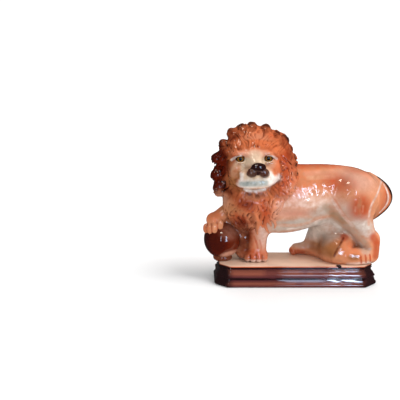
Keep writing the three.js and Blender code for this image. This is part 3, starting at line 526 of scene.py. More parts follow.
class Clay:
    """Soft modelling clay: distances in millimetres on a regular grid, negative inside."""

    def __init__(self, low: Sequence[float], high: Sequence[float], step: float) -> None:
        """Makes empty clay.

        Args:
            low: Lowest corner, in millimetres.
            high: Highest corner.
            step: Spacing of the grid.
        """
        self.low = np.asarray(low, float)
        self.step = step
        self.count = np.ceil((np.asarray(high, float) - self.low) / step).astype(int) + 1
        self.distance = np.full(self.count, FAR, np.float32)

    def _window(self, low: Array, high: Array) -> tuple[Any, list[Array]]:
        """The grid between two corners, as slices and as open axes of coordinates."""
        first = np.clip(np.floor((low - self.low) / self.step).astype(int), 0, self.count)
        last = np.clip(np.ceil((high - self.low) / self.step).astype(int) + 1, 0, self.count)
        last = np.maximum(first, last)
        axes = []
        for n, shape in enumerate(((-1, 1, 1), (1, -1, 1), (1, 1, -1))):
            line = self.low[n] + self.step * np.arange(first[n], last[n])
            axes.append(line.astype(np.float32).reshape(shape))
        return tuple(slice(a, b) for a, b in zip(first, last)), axes

    def _work(self, where: Any, added: Array, fillet: float, cut: bool = False) -> None:
        """Joins a shape to the clay or cuts it out, and rounds the seam."""
        sign = -1 if cut else 1
        old = sign * self.distance[where]
        seam = np.maximum(fillet - np.abs(old - added), 0)
        self.distance[where] = sign * (np.minimum(old, added) - seam * seam / (4 * fillet))

    def mass(self, centre: Array, half: Array, fillet: float, turn: float = 0.0,
             cut: bool = False) -> None:
        """Adds or cuts an ellipsoid, turned about the depth axis.

        Args:
            centre: Its middle, in millimetres.
            half: Its half sizes.
            fillet: How far the seam is rounded.
            turn: Its turn, in degrees.
            cut: Whether it is cut out.
        """
        reach = max(half) + fillet + 2 * self.step
        where, (x, y, z) = self._window(centre - reach, centre + reach)
        cos, sin = math.cos(math.radians(turn)), math.sin(math.radians(turn))
        dx, dy, dz = x - centre[0], (y - centre[1]) / half[1], z - centre[2]
        u = (dx * cos - dz * sin) / half[0]
        w = (dx * sin + dz * cos) / half[2]
        size = np.sqrt(u * u + dy * dy + w * w)
        slope = np.sqrt((u / half[0]) ** 2 + (dy / half[1]) ** 2 + (w / half[2]) ** 2)
        added = size * (size - 1) / np.maximum(slope, TINY)
        self._work(where, added.astype(np.float32), fillet, cut)

    def limb(self, points: Array, radii: Sequence[float], fillet: float,
             flatness: float = 1.0, steps: int = 4) -> None:
        """Adds a round limb of changing thickness.

        Args:
            points: Stations, in millimetres.
            radii: A thickness for each station.
            fillet: How far the seam is rounded.
            flatness: Its depth against its height.
            steps: Spans between two stations.
        """
        spine = smooth(points, steps)
        widths = smooth(np.asarray(radii, float)[:, None], steps)[:, 0]
        margin = widths.max() + fillet + 2 * self.step
        where, axes = self._window(spine.min(0) - margin, spine.max(0) + margin)
        nearest = np.full([axis.size for axis in axes], FAR, np.float32)
        stretch = 1 / flatness
        for start, end, radius, last in zip(spine, spine[1:], widths, widths[1:]):
            low, high = np.minimum(start, end) - margin, np.maximum(start, end) + margin
            part, (x, y, z) = self._window(low, high)
            inner = tuple(slice(p.start - w.start, p.stop - w.start)
                          for p, w in zip(part, where))
            leg = (end - start) * (1, stretch, 1)
            dx, dy, dz = x - start[0], (y - start[1]) * stretch, z - start[2]
            gone = (dx * leg[0] + dy * leg[1] + dz * leg[2]) / max(leg @ leg, TINY)
            share = np.clip(gone, 0, 1)
            away = np.sqrt((dx - share * leg[0]) ** 2 + (dy - share * leg[1]) ** 2
                           + (dz - share * leg[2]) ** 2)
            away -= radius + share * (last - radius)
            np.minimum(nearest[inner], away, out=nearest[inner])
        self._work(where, nearest * math.sqrt(flatness), fillet)

    def add_masses(self, masses: Sequence[Mass], cut: bool = False) -> None:
        """Adds masses given in shares of the figure, or cuts them out."""
        for mass in masses:
            self.mass(LAYOUT.point(mass.centre), LAYOUT.half(mass.half), mass.fillet,
                      mass.turn, cut)

    def add_limbs(self, limbs: Sequence[Limb]) -> None:
        """Adds limbs given in shares of the figure."""
        for limb in limbs:
            points = np.array([LAYOUT.point(station) for station in limb.stations])
            radii = [LAYOUT.thick(station[3]) for station in limb.stations]
            self.limb(points, radii, limb.fillet, limb.flatness)

    def cut_below(self, height: float) -> None:
        """Cuts the clay off flat at a height."""
        z = self.low[2] + self.step * np.arange(self.count[2])
        self.distance = np.maximum(self.distance, (height - z).astype(np.float32))

    def soften(self) -> None:
        """Melts sharp creases a little, as a coat of glaze does."""
        reach = SOFTENED_STEPS * self.step
        soft = np.clip(self.distance, -reach, reach)
        for axis in range(3):
            soft = 0.5 * soft + 0.25 * (np.roll(soft, 1, axis) + np.roll(soft, -1, axis))
        self.distance = soft

    def build_up(self, relief: Callable[[Array], Array], reach: float) -> None:
        """Raises the surface by a relief.

        Args:
            relief: Gives the height at points, in millimetres.
            reach: How far from the surface it works.
        """
        near = np.argwhere(np.abs(self.distance) < reach)
        self.distance[tuple(near.T)] -= relief(self.low + self.step * near)

    def depth_map(self, side: int) -> Array:
        """Depth of the outer surface over length and height, on the front or the back.

        Args:
            side: -1 for the front, 1 for the back.

        Returns:
            A grid of depths, with NaN where there is no clay.
        """
        inside = self.distance < 0
        flipped = inside if side < 0 else inside[:, ::-1]
        found = flipped.argmax(1)
        j = found if side < 0 else self.count[1] - 1 - found
        i, k = np.indices(j.shape)
        inner = self.distance[i, j, k]
        outer = self.distance[i, np.clip(j + side, 0, self.count[1] - 1), k]
        share = inner / np.minimum(inner - outer, -TINY)
        depth = self.low[1] + self.step * (j + side * share)
        return np.where(inside.any(1), depth, np.nan)

    def depth_at(self, depths: Array, x: float, z: float) -> float:
        """Reads a depth map at a length and a height, with NaN off the grid."""
        i = int(round((x - self.low[0]) / self.step))
        k = int(round((z - self.low[2]) / self.step))
        inner = 0 <= i < depths.shape[0] and 0 <= k < depths.shape[1]
        return depths[i, k] if inner else math.nan

    def at(self, points: Array, values: Array | None = None) -> Array:
        """The grid's values at points, read between its corners.

        Args:
            points: Places in millimetres.
            values: A grid of the same shape, or None for the distances.

        Returns:
            Four numbers a point: the value and its slope along the three axes.
        """
        grid = self.distance if values is None else values
        at = (points - self.low) / self.step
        first = np.clip(np.floor(at).astype(int), 0, np.array(grid.shape) - 2)
        t = at - first
        out = np.zeros((len(points), 4))
        for corner in CORNERS:
            value = grid[tuple((first + corner).T)]
            wx, wy, wz = np.where(corner, t, 1 - t).T
            sx, sy, sz = (1 if side else -1 for side in corner)
            out[:, 0] += value * wx * wy * wz
            out[:, 1] += value * sx * wy * wz
            out[:, 2] += value * sy * wx * wz
            out[:, 3] += value * sz * wx * wy
        out[:, 1:] /= self.step
        return out

    def facing(self, points: Array) -> Array:
        """The directions in which the surface faces at points, of length 1."""
        slope = self.at(points)[:, 1:]
        return slope / np.maximum(np.linalg.norm(slope, axis=1), TINY)[:, None]

    def skin(self) -> Pair:
        """The surface as points in millimetres and four-sided faces, pointing outwards."""
        inside = self.distance < 0
        nx, ny, nz = (int(n) - 1 for n in self.count)
        filled = np.zeros((nx, ny, nz), np.uint8)
        for a, b, c in CORNERS:
            filled += inside[a:a + nx, b:b + ny, c:c + nz]
        cells = np.argwhere((filled > 0) & (filled < len(CORNERS)))
        lookup = np.full((nx, ny, nz), -1, np.int32)
        lookup[tuple(cells.T)] = np.arange(len(cells))
        values = {corner: self.distance[tuple((cells + corner).T)] for corner in CORNERS}
        total, hits = np.zeros((len(cells), 3)), np.zeros(len(cells))
        for one in CORNERS:
            for axis in range(3):
                if one[axis]:
                    continue
                two = tuple(1 if n == axis else one[n] for n in range(3))
                a, b = values[one], values[two]
                cross = (a < 0) != (b < 0)
                place = np.tile(np.array(one, float), (len(cells), 1))
                place[:, axis] += np.where(cross, a / np.where(cross, a - b, 1), 0)
                total += place * cross[:, None]
                hits += cross
        points = self.low + self.step * (cells + total / hits[:, None])
        faces = []
        for axis in range(3):
            u, v = (axis + 1) % 3, (axis + 2) % 3
            low = [slice(1, -1)] * 3
            low[axis] = slice(0, -1)
            high = list(low)
            high[axis] = slice(1, None)
            one, two = inside[tuple(low)], inside[tuple(high)]
            edges = np.argwhere(one != two)
            outward = one[tuple(edges.T)]
            base = edges + [0 if n == axis else 1 for n in range(3)]
            quad = []
            for du, dv in ((1, 1), (0, 1), (0, 0), (1, 0)):
                cell = base.copy()
                cell[:, u] -= du
                cell[:, v] -= dv
                quad.append(lookup[tuple(cell.T)])
            quad = np.stack(quad, 1)
            faces.append(np.where(outward[:, None], quad, quad[:, ::-1]))
        return self.settle(self.settle(points)), np.concatenate(faces)

    def settle(self, points: Array) -> Array:
        """Moves points towards the true surface, along the slope of the clay."""
        found = self.at(points)
        slope = found[:, 1:]
        square = np.maximum((slope * slope).sum(1), LEAST_SLOPE ** 2)
        reach = GREATEST_MOVE * self.step
        return points - slope * np.clip(found[:, 0] / square, -reach, reach)[:, None]

    def hollow(self, points: Array, reach: int) -> Array:
        """How deep each point lies between its surroundings, from -1 on a ridge to 1.

        Args:
            points: Places on the surface, in millimetres.
            reach: Half width of the surroundings, in grid steps.

        Returns:
            One number a point.
        """
        limit = reach * self.step
        mean = np.clip(self.distance, -limit, limit)
        for axis in range(3):
            total = np.cumsum(mean, axis, dtype=np.float64)
            last = mean.shape[axis] - 1
            ahead, behind = (np.take(total, np.clip(np.arange(last + 1) + shift, 0, last), axis)
                             for shift in (reach, -reach - 1))
            mean = ((ahead - behind) / (2 * reach + 1)).astype(np.float32)
        return np.clip(HOLLOW_GAIN * self.at(points, mean)[:, 0] / limit, -1, 1)


@dataclass
class Hair:
    """Lays locks and combs strands of hair, radiating from the middle of the face.

    Neighbouring locks sway together, and chance moves each a little.

    Attributes:
        seed: Start of the chances that scatter the locks.
        chance: The draws of chance.
        edge: Edge of the mane, in millimetres.
        centre: Middle of the face, in millimetres.
    """

    seed: int = 11
    chance: np.random.Generator = field(init=False)
    edge: Array = field(init=False)
    centre: Array = field(init=False)

    def __post_init__(self) -> None:
        """Works out the edge of the mane in millimetres."""
        self.chance = np.random.default_rng(self.seed)
        self.edge = np.array([LAYOUT.point((x, 0, z)) for x, z in MANE_EDGE])
        self.centre = LAYOUT.point((MANE_CENTRE[0], 0, MANE_CENTRE[1]))

    def lay(self, clay: Clay, base: Clay, rows: Sequence[LockRow], side: int) -> None:
        """Lays rows of locks on one side.

        Args:
            clay: The clay that takes the locks.
            base: The clay that they lie on.
            rows: The rows, from the edge inwards.
            side: -1 for the front, 1 for the back.
        """
        depths = base.depth_map(side)
        for number, row in enumerate(rows):
            first, last = row.span
            for n in range(row.count):
                scatter = self.chance.uniform(-LOCK_SCATTER, LOCK_SCATTER, 4)
                place = (n + number / 2 + scatter[0]) / row.count
                wrapped = place - 1 if place > last else place
                if first <= wrapped <= last:
                    self._lock(clay, base, depths, row, side, place, scatter[1:])

    def _lock(self, clay: Clay, base: Clay, depths: Array, row: LockRow, side: int,
              place: float, scatter: Array) -> None:
        """Lays one lock from its root to its tip."""
        profile = np.array([*LOCK_PROFILE, row.tip])
        share = np.linspace(0, 1, len(profile))
        drift = sum(size * math.sin(2 * math.pi * turns * place + start)
                    for turns, size, start in LOCK_DRIFTS)
        sway = row.curl * (1 + scatter[0]) * np.sin(row.waves * math.pi * share + drift)
        rim = ring_curve(self.edge, place + sway)
        out = row.start + (row.end - row.start) * (share + LOCK_STRETCH * scatter[1] * share)
        flat = self.centre + (rim - self.centre) * np.minimum(out, LOCK_LIMIT)[:, None]
        radii = row.radius * profile * (1 + LOCK_WIDENING * scatter[2])
        sunk = LOCK_SUNK - row.lift * share
        depth = 0.0
        points = []
        for at, radius, below in zip(flat, radii, sunk):
            found = base.depth_at(depths, at[0], at[2])
            depth = depth * LOCK_FALL if math.isnan(found) else found
            points.append((at[0], depth - side * radius * below, at[2]))
        clay.limb(np.array(points), radii, row.fillet, 1, 2)

    def comb(self, across: Array, along: Array, band: Band, whole: float) -> Array:
        """Relief of one band of strands, from 0 in the grooves to 1 on the ridges.

        Args:
            across: Place across the strands, in strand widths.
            along: Place along them, 0 at the roots and 1 at the tips.
            band: The band.
            whole: Number of strands after which the pattern comes back.

        Returns:
            One number a point.
        """
        turn = across * 2 * math.pi / whole
        first, second = (turn * round(whole / strands) for strands in STRANDS_A_DRIFT)
        (wide, narrow), (start, end) = STRAND_DRIFTS, DRIFT_STARTS
        drift = (wide * np.sin(first + band.start * start)
                 + narrow * np.sin(second + DRIFT_LEAN * along + band.end * end))
        across = across + band.sway * np.sin(math.pi * band.waves * along + drift)
        number = np.mod(np.floor(across), whole)
        chance = as_if_by_chance(number * CHANCE_SEEDS[0] + band.end * CHANCE_SEEDS[1])
        along = along + STRAND_SCATTER * (chance - 0.5)
        narrowing = 1 - TIP_NARROWING * ramp(along, *TIP_TAPER)
        side = np.abs(2 * (across - np.floor(across)) - 1) / narrowing
        ridge = np.sqrt(np.clip(1 - side * side, 0, 1))
        rise = ROOT_RISE + (1 - ROOT_RISE) * np.clip(along, 0, 1)
        ends = ramp(along, *STRAND_ROOT) * (1 - ramp(along, *STRAND_TIP))
        return ridge * rise * ends * (LEAST_RISE + RISE_SCATTER * chance)

    def spread(self, points: Array) -> Pair:
        """How points lie round the middle of the face.

        Args:
            points: Places in millimetres.

        Returns:
            Their place round the edge of the mane, from 0 to 1, and how far they lie on the
            way to it.
        """
        places = np.linspace(0, 1, EDGE_PLACES)
        rim = ring_curve(self.edge, places) - self.centre
        angle = np.unwrap(np.arctan2(rim[:, 2], rim[:, 0]))
        offset = points - self.centre
        found = np.arctan2(offset[:, 2], offset[:, 0])
        found = angle[0] + np.mod(found - angle[0], 2 * math.pi)
        edge = np.interp(found, angle, np.hypot(rim[:, 0], rim[:, 2]))
        return np.interp(found, angle, places), np.hypot(offset[:, 0], offset[:, 2]) / edge

    def zones(self, points: Array) -> Pair:
        """Where the hair falls down the chest, and where it falls beside the face."""
        x, y, z = points.T
        front = y < FRONT_END
        chest = (1 - ramp(z, CHEST_TOP - CHEST_SEAM, CHEST_TOP + CHEST_SEAM)) * front
        chest = chest * (1 - ramp(np.abs(x - CHEST_MIDDLE), *CHEST_END))
        aside = np.abs(x - LAYOUT.point(MASK.centre)[0])
        sides = ramp(aside, *SIDE_START) * (1 - ramp(z, *SIDE_TOP)) * front
        return chest, sides * (1 - chest)

    def patches(self, points: Array) -> Array:
        """Patches of the hair whose grooves are darker than the rest, from 0 to 1."""
        x, _, z = points.T
        (a, b), (c, d) = PATCH_WAVES
        return ramp(np.sin(a * x + b * z) * np.cos(d * z - c * x), *PATCH_EDGE)

    def bands(self, bands: Sequence[Band], line: Array, reach: Array,
              weight: Array, room: Any) -> Pair:
        """Relief of some bands.

        Args:
            bands: The bands, radiating or falling.
            line: Place along the hair, on which they start and end.
            reach: Place across it: from 0 to 1 round the mane, or in millimetres.
            weight: Where the bands lie, from 0 to 1.
            room: Where they and their neighbours lie, from 0 to 1.

        Returns:
            How far the hair stands out, in millimetres, and how far each point lies on a
            ridge or off the bands, from 0 to 1.
        """
        height, cover = np.zeros(len(line)), np.zeros(len(line))
        for number, band in enumerate(bands):
            along = (line - band.start) / (band.end - band.start)
            across = reach / band.strands if band.falling else reach * band.strands
            whole = FALLING_STRANDS if band.falling else band.strands
            ridge = self.comb(across + number / 2, along, band, whole)
            height = np.maximum(height, band.height * ridge * weight)
            on_ridge = np.minimum(STRAND_COVER * ridge, 1) * weight + (room - weight)
            cover = np.maximum(cover, on_ridge)
        return height, cover

    def relief(self, points: Array) -> Pair:
        """Relief of the combed hair.

        Args:
            points: Places in millimetres.

        Returns:
            How far the hair stands out, in millimetres, and how deep each point lies in a
            groove, from 0 to 1.
        """
        x, y, z = points.T
        place, share = self.spread(points)
        way = np.arctan2(share, -y / LAYOUT.half(MANE.half)[1]) / math.pi
        chest, sides = self.zones(points)
        rest, falls = 1 - chest - sides, chest + sides
        offset = (points - LAYOUT.point(MASK.centre)) / LAYOUT.half(MASK.half)
        from_face = np.hypot(offset[:, 0], offset[:, 2])
        across, down = ((points[:, n] - middle) / half for n, middle, half in
                        zip((0, 2), THROAT_MIDDLE, THROAT_HALF))
        throat = 1 - ramp(np.hypot(across, down), *THROAT_EDGE)
        mane = self.bands(MANE_BANDS, way, place, rest * ramp(from_face, *FACE_EDGE), 1)
        front = self.bands(CHEST_BANDS, z, x - CHEST_LEAN * (CHEST_TOP - z),
                           chest * (1 - throat) * ramp(z, *CHEST_FOOT), falls)
        beside = self.bands(SIDE_BANDS, z,
                            SIDE_REACH * share + SIDE_SLANT * z + SIDE_JUMP * (offset[:, 0] > 0),
                            sides * ramp(from_face, *SIDE_EDGE), falls)
        height = np.maximum(mane[0], np.maximum(front[0], beside[0]))
        cover = mane[1] * rest + np.maximum(front[1], beside[1]) * falls
        accent = GROOVE_LEAST + (1 - GROOVE_LEAST) * self.patches(points)
        return height, (1 - cover) ** GROOVE_POWER * accent

    def tufts(self, clay: Clay, base: Clay) -> None:
        """Lays the long tufts of the chest over the top of the foreleg."""
        depths = base.depth_map(-1)
        share = np.linspace(0, 1, len(TUFT_PROFILE))
        for number, (x, top, bottom) in enumerate(TUFTS):
            down = top + (bottom - top) * share
            sway = TUFT_SWAY * np.sin(TUFT_WAVES * math.pi * share + TUFT_SHIFT * number)
            across = x - TUFT_LEAN * (top - down) + sway
            points = []
            for at_x, at_z, radius in zip(across, down, TUFT_PROFILE):
                depth = base.depth_at(depths, at_x, at_z)
                if not math.isnan(depth):
                    points.append((at_x, depth + TUFT_SUNK * radius, at_z, radius))
            if len(points) > 2:
                line = np.array(points)
                clay.limb(line[:, :3], line[:, 3], TUFT_FILLET, 1, 3)


def linear(code: str) -> tuple[float, float, float, float]:
    """An sRGB hex colour such as c98058 as linear red, green, blue and alpha."""
    parts = [int(code[n:n + 2], 16) / 255 for n in (0, 2, 4)]
    r, g, b = (p / 12.92 if p <= 0.04045 else ((p + 0.055) / 1.055) ** 2.4 for p in parts)
    return r, g, b, 1.0


PLUS = {"operation": "ADD"}
MINUS = {"operation": "SUBTRACT"}
TIMES = {"operation": "MULTIPLY"}
OVER = {"operation": "DIVIDE"}
TIMES_PLUS = {"operation": "MULTIPLY_ADD"}
SCALED = {"operation": "SCALE"}
REMAINDER = {"operation": "MODULO"}
COLOURS = {"data_type": "RGBA"}
TINTED = {"data_type": "RGBA", "blend_type": "MULTIPLY"}
SMOOTH = {"interpolation_type": "SMOOTHSTEP"}


def add(tree: NodeTree, kind: str, settings: dict[str, Any] | None = None,
        **sockets: Any) -> Node:
    """Adds a node with its settings, and values or links on its inputs.

    Args:
        tree: The node tree.
        kind: The node's type name, without ShaderNode for a node that shaders use.
        settings: Attributes of the node.
        **sockets: For an input, its value, or the node or output that feeds it. Names have
            their spaces as underscores, and i0, i1 and so on stand for an input's number.

    Returns:
        The new node.
    """
    known = kind.startswith(("GeometryNode", "FunctionNode", "NodeGroup"))
    node = tree.nodes.new(kind if known else f"ShaderNode{kind}")
    for name, value in (settings or {}).items():
        setattr(node, name, value)
    for name, value in sockets.items():
        numbered = name[0] == "i" and name[1:].isdigit()
        socket = node.inputs[int(name[1:])] if numbered else node.inputs[name.replace("_", " ")]
        source = value.outputs[0] if isinstance(value, Node) else value
        if isinstance(source, NodeSocket):
            tree.links.new(source, socket)
        else:
            socket.default_value = value
    return node


def new_material(name: str) -> tuple[Material, NodeTree]:
    """An empty material and its node tree."""
    material = bpy.data.materials.new(name)
    material.use_nodes = True
    material.node_tree.nodes.clear()
    return material, material.node_tree


def coat_with(tree: NodeTree, colour: NodeSocket, roughness: float, ior: float,
              uneven: Node | None = None) -> None:
    """Ends a material in a glossy coat over a colour, smooth or uneven."""
    normal = {"Normal": uneven} if uneven else {}
    shader = add(tree, "BsdfPrincipled", Base_Color=colour, Roughness=roughness, IOR=ior,
                 **normal)
    add(tree, "OutputMaterial", Surface=shader)


class Glaze(Enum):
    """Painted colours under the clear glaze: the attribute that masks each, and its colour."""

    PINK = ("pink", "cf9a84")
    ORANGE = ("orange", "cc6c42")
    ASH = ("ash", "b9aca0")
    OLIVE = ("olive", "8d7356")
    OCHRE = ("ochre", "9a6238")
    RUST = ("rust", "b24a28")
    CREAM = ("cream", "dcc0a4")
    UMBER = ("umber", "581402")
    SLATE = ("slate", "83918e")
    WHITE = ("white", "ece0d8")
    AUBERGINE = ("aubergine", "220a0c")

    @property
    def mask(self) -> str:
        """Name of the attribute that says where the colour lies."""
        return self.value[0]

    @property
    def colour(self) -> str:
        """The colour as sRGB hex."""
        return self.value[1]


PINK, ORANGE, ASH, OLIVE, OCHRE, RUST, CREAM, UMBER, SLATE, WHITE, AUBERGINE = Glaze


@dataclass(frozen=True)
class GlazedEarthenware:
    """Press-moulded earthenware, painted by hand and dipped in a clear lead glaze.

    The eye gets soft-edged brush colours that run into each other, glaze pooled dark in the
    hollows, and a wet shine that breaks over a slightly uneven surface.

    Attributes:
        name: Name of the material.
        base: Ground colour as sRGB hex.
        layers: Colours laid over it in turn.
        roughness: Roughness of the glaze, typical of a fired lead glaze.
        ior: Refractive index of the glaze.
        mottle: Size of the colour's clouds, in millimetres.
        brush: Size of the ragged edge of a brush stroke, in millimetres.
        swell: Size of the glaze's unevenness, in millimetres.
        torn: How far a brush stroke's edge frays.
        waves: Strength and height in metres of the glaze's broad unevenness.
        peel: Those of its fine unevenness.
        finer: How much smaller its fine unevenness is.
    """

    name: str
    base: str
    layers: tuple[Glaze, ...]
    roughness: float = 0.08
    ior: float = 1.55
    mottle: float = 16.0
    brush: float = 8.0
    swell: float = 12.0
    torn: float = 0.7
    waves: Range = (0.9, 0.0015)
    peel: Range = (0.5, 0.0004)
    finer: float = 2.2

    def build(self) -> Material:
        """Makes the material."""
        material, tree = new_material(self.name)
        place = add(tree, "TexCoord").outputs["Object"]
        cloud = self._noise(tree, place, self.mottle, 3)
        ragged = self._noise(tree, place, self.brush, 2)
        torn = add(tree, "Math", PLUS, i0=cloud, i1=ragged)
        shift = add(tree, "MapRange", {"clamp": False}, Value=torn, From_Min=0.7,
                    From_Max=1.3, To_Min=-self.torn, To_Max=self.torn)
        colour = linear(self.base)
        for layer in self.layers:
            mask = add(tree, "Attribute", {"attribute_name": layer.mask}).outputs["Fac"]
            rest = add(tree, "Math", MINUS, i0=1.0, i1=mask)
            middle = add(tree, "Math", TIMES, i0=mask, i1=rest)
            edge = add(tree, "Math", {"operation": "MULTIPLY_ADD", "use_clamp": True},
                       i0=middle, i1=shift, i2=mask)
            blend = add(tree, "Mix", COLOURS, i0=edge, i6=colour, i7=linear(layer.colour))
            colour = blend.outputs[2]
        colour = self._pool(tree, colour, cloud, ragged)
        uneven = None
        for size, detail, (strength, height) in ((self.swell, 1, self.waves),
                                                 (self.swell / self.finer, 0, self.peel)):
            grain = self._noise(tree, place, size, detail)
            below = {"Normal": uneven} if uneven else {}
            uneven = add(tree, "Bump", Strength=strength, Distance=height,
                         Height=grain, **below)
        coat_with(tree, colour, self.roughness, self.ior, uneven)
        return material

    def _noise(self, tree: NodeTree, place: NodeSocket, size: float,
               detail: float) -> NodeSocket:
        """A noise whose patches are the given size in millimetres."""
        node = add(tree, "TexNoise", Vector=place, Scale=1 / (size * MM),
                   Detail=detail, Roughness=0.55)
        return node.outputs["Fac"]

    def _pool(self, tree: NodeTree, colour: Any, cloud: NodeSocket,
              ragged: NodeSocket) -> NodeSocket:
        """Darkens the colour where the glaze pools, and clouds it a little all over."""
        hollow = add(tree, "Attribute", {"attribute_name": "hollow"})
        pooled = add(tree, "MapRange", Value=hollow.outputs["Fac"], From_Min=0.05,
                     From_Max=0.75, To_Min=1.0, To_Max=0.4)
        clouded = add(tree, "MapRange", Value=cloud, From_Min=0.3, From_Max=0.7,
                      To_Min=0.9, To_Max=1.08)
        streaked = add(tree, "MapRange", Value=ragged, From_Min=0.3, From_Max=0.7,
                       To_Min=0.95, To_Max=1.05)
        tone = add(tree, "Math", TIMES, i0=clouded, i1=streaked)
        deep = add(tree, "Gamma", Color=colour, Gamma=1.6)
        pooled_share = add(tree, "Math", MINUS, i0=1.0, i1=pooled)
        pool = add(tree, "Mix", COLOURS, i0=pooled_share, i6=colour, i7=deep)
        shade = add(tree, "Math", TIMES, i0=tone, i1=pooled)
        tint = add(tree, "CombineColor", i0=shade, i1=shade, i2=shade)
        mixed = add(tree, "Mix", TINTED, i0=1.0, i6=pool.outputs[2], i7=tint)
        return mixed.outputs[2]


def new_object(name: str, data: Any) -> Object:
    """A new object that is in the scene."""
    item = bpy.data.objects.new(name, data)
    bpy.context.scene.collection.objects.link(item)
    return item


def make_piece(name: str, points: Array, faces: Array, material: Material,
               masks: dict[str, Array] | None = None) -> Object:
    """Makes a smooth-shaded mesh object, in metres, from points in millimetres.

    Args:
        name: The piece's name.
        points: Its points.
        faces: Its faces, all with the same number of corners.
        material: Its material.
        masks: Attributes to store, one number a point each.

    Returns:
        The object, linked to the scene.
    """
    points = np.clip(points, *cad_box())
    mesh = bpy.data.meshes.new(name)
    mesh.vertices.add(len(points))
    mesh.vertices.foreach_set("co", (points * MM).astype(np.float32).ravel())
    width = faces.shape[1]
    mesh.loops.add(faces.size)
    mesh.loops.foreach_set("vertex_index", faces.astype(np.int32).ravel())
    mesh.polygons.add(len(faces))
    mesh.polygons.foreach_set("loop_start", np.arange(0, faces.size, width, dtype=np.int32))
    mesh.update(calc_edges=True)
    mesh.validate()
    mesh.shade_smooth()
    for key, values in (masks or {}).items():
        layer = mesh.attributes.new(key, "FLOAT", "POINT")
        layer.data.foreach_set("value", np.asarray(values, np.float32))
    mesh.materials.append(material)
    return new_object(name, mesh)


def put_in_frame(piece: Object, *nodes: str, slot: str) -> None:
    """Makes a piece ride with the body and stand for its nodes, and reports it."""
    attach(piece, "root")
    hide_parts(*nodes)
    LOG.info("%s: %d faces", piece.name, len(piece.data.polygons))


NEAR = (-FAR, 2.0)
BEHIND = (2.0, FAR)
DEPTH_EDGE = 8.0
STROKE_EDGE = (0.4, 1.6)


@dataclass(frozen=True)
class Patch:
    """A soft-edged round patch of paint, seen from the side.

    Attributes:
        glaze: Its colour.
        centre: Its middle in length and height, in millimetres.
        half: Its half sizes.
        turn: Its turn in degrees.
        strength: How strongly it covers.
        edge: Width of its soft edge against its size.
        depth: First and last depth that it reaches.
    """

    glaze: Glaze
    centre: Range
    half: Range
    turn: float = 0.0
    strength: float = 1.0
    edge: float = 0.5
    depth: Range = NEAR

    def shape(self, x: Array, z: Array) -> Array:
        """1 inside the patch, falling to 0 outside."""
        cos, sin = math.cos(math.radians(self.turn)), math.sin(math.radians(self.turn))
        dx, dz = x - self.centre[0], z - self.centre[1]
        size = np.hypot((dx * cos + dz * sin) / self.half[0],
                        (dz * cos - dx * sin) / self.half[1])
        return 1 - ramp(size, 1 - self.edge, 1 + self.edge)


@dataclass(frozen=True)
class Stroke:
    """A soft stroke of paint along a path, seen from the side.

    Attributes:
        glaze: Its colour.
        path: Its path in length and height, in millimetres.
        width: Its half width.
        strength: How strongly it covers.
        depth: First and last depth that it reaches.
    """

    glaze: Glaze
    path: tuple[tuple[float, float], ...]
    width: float
    strength: float = 1.0
    depth: Range = NEAR

    def shape(self, x: Array, z: Array) -> Array:
        """1 on the path, falling to 0 away from it."""
        nearest = np.full(len(x), FAR)
        line = smooth(np.array(self.path), 4)
        for (ax, az), (bx, bz) in zip(line, line[1:]):
            square = max((bx - ax) ** 2 + (bz - az) ** 2, TINY)
            share = np.clip(((x - ax) * (bx - ax) + (z - az) * (bz - az)) / square, 0, 1)
            away = np.hypot(x - ax - share * (bx - ax), z - az - share * (bz - az))
            nearest = np.minimum(nearest, away)
        return 1 - ramp(nearest / self.width, *STROKE_EDGE)


class Coat:
    """The paint on a piece: for each colour, how strongly it covers each point."""

    def __init__(self, points: Array) -> None:
        """Starts with no paint on the points, given in millimetres."""
        self.points = points
        self.masks = {glaze.mask: np.zeros(len(points)) for glaze in Glaze}

    def lay(self, glaze: Glaze, cover: Array) -> None:
        """Lays a colour where it isn't yet as strong."""
        self.masks[glaze.mask] = np.maximum(self.masks[glaze.mask], np.clip(cover, 0, 1))

    def wipe(self, glaze: Glaze, cover: Array) -> None:
        """Wipes a colour off."""
        self.masks[glaze.mask] *= 1 - np.clip(cover, 0, 1)

    def brush(self, marks: Sequence[Patch | Stroke]) -> None:
        """Lays patches and strokes in turn, each over the colours that are there."""
        x, y, z = self.points.T
        order = list(Glaze)
        for mark in marks:
            first, last = mark.depth
            reach = ramp(y, first - DEPTH_EDGE, first) * (1 - ramp(y, last, last + DEPTH_EDGE))
            cover = mark.strength * reach * mark.shape(x, z)
            for above in order[order.index(mark.glaze) + 1:]:
                self.wipe(above, cover)
            self.lay(mark.glaze, cover)


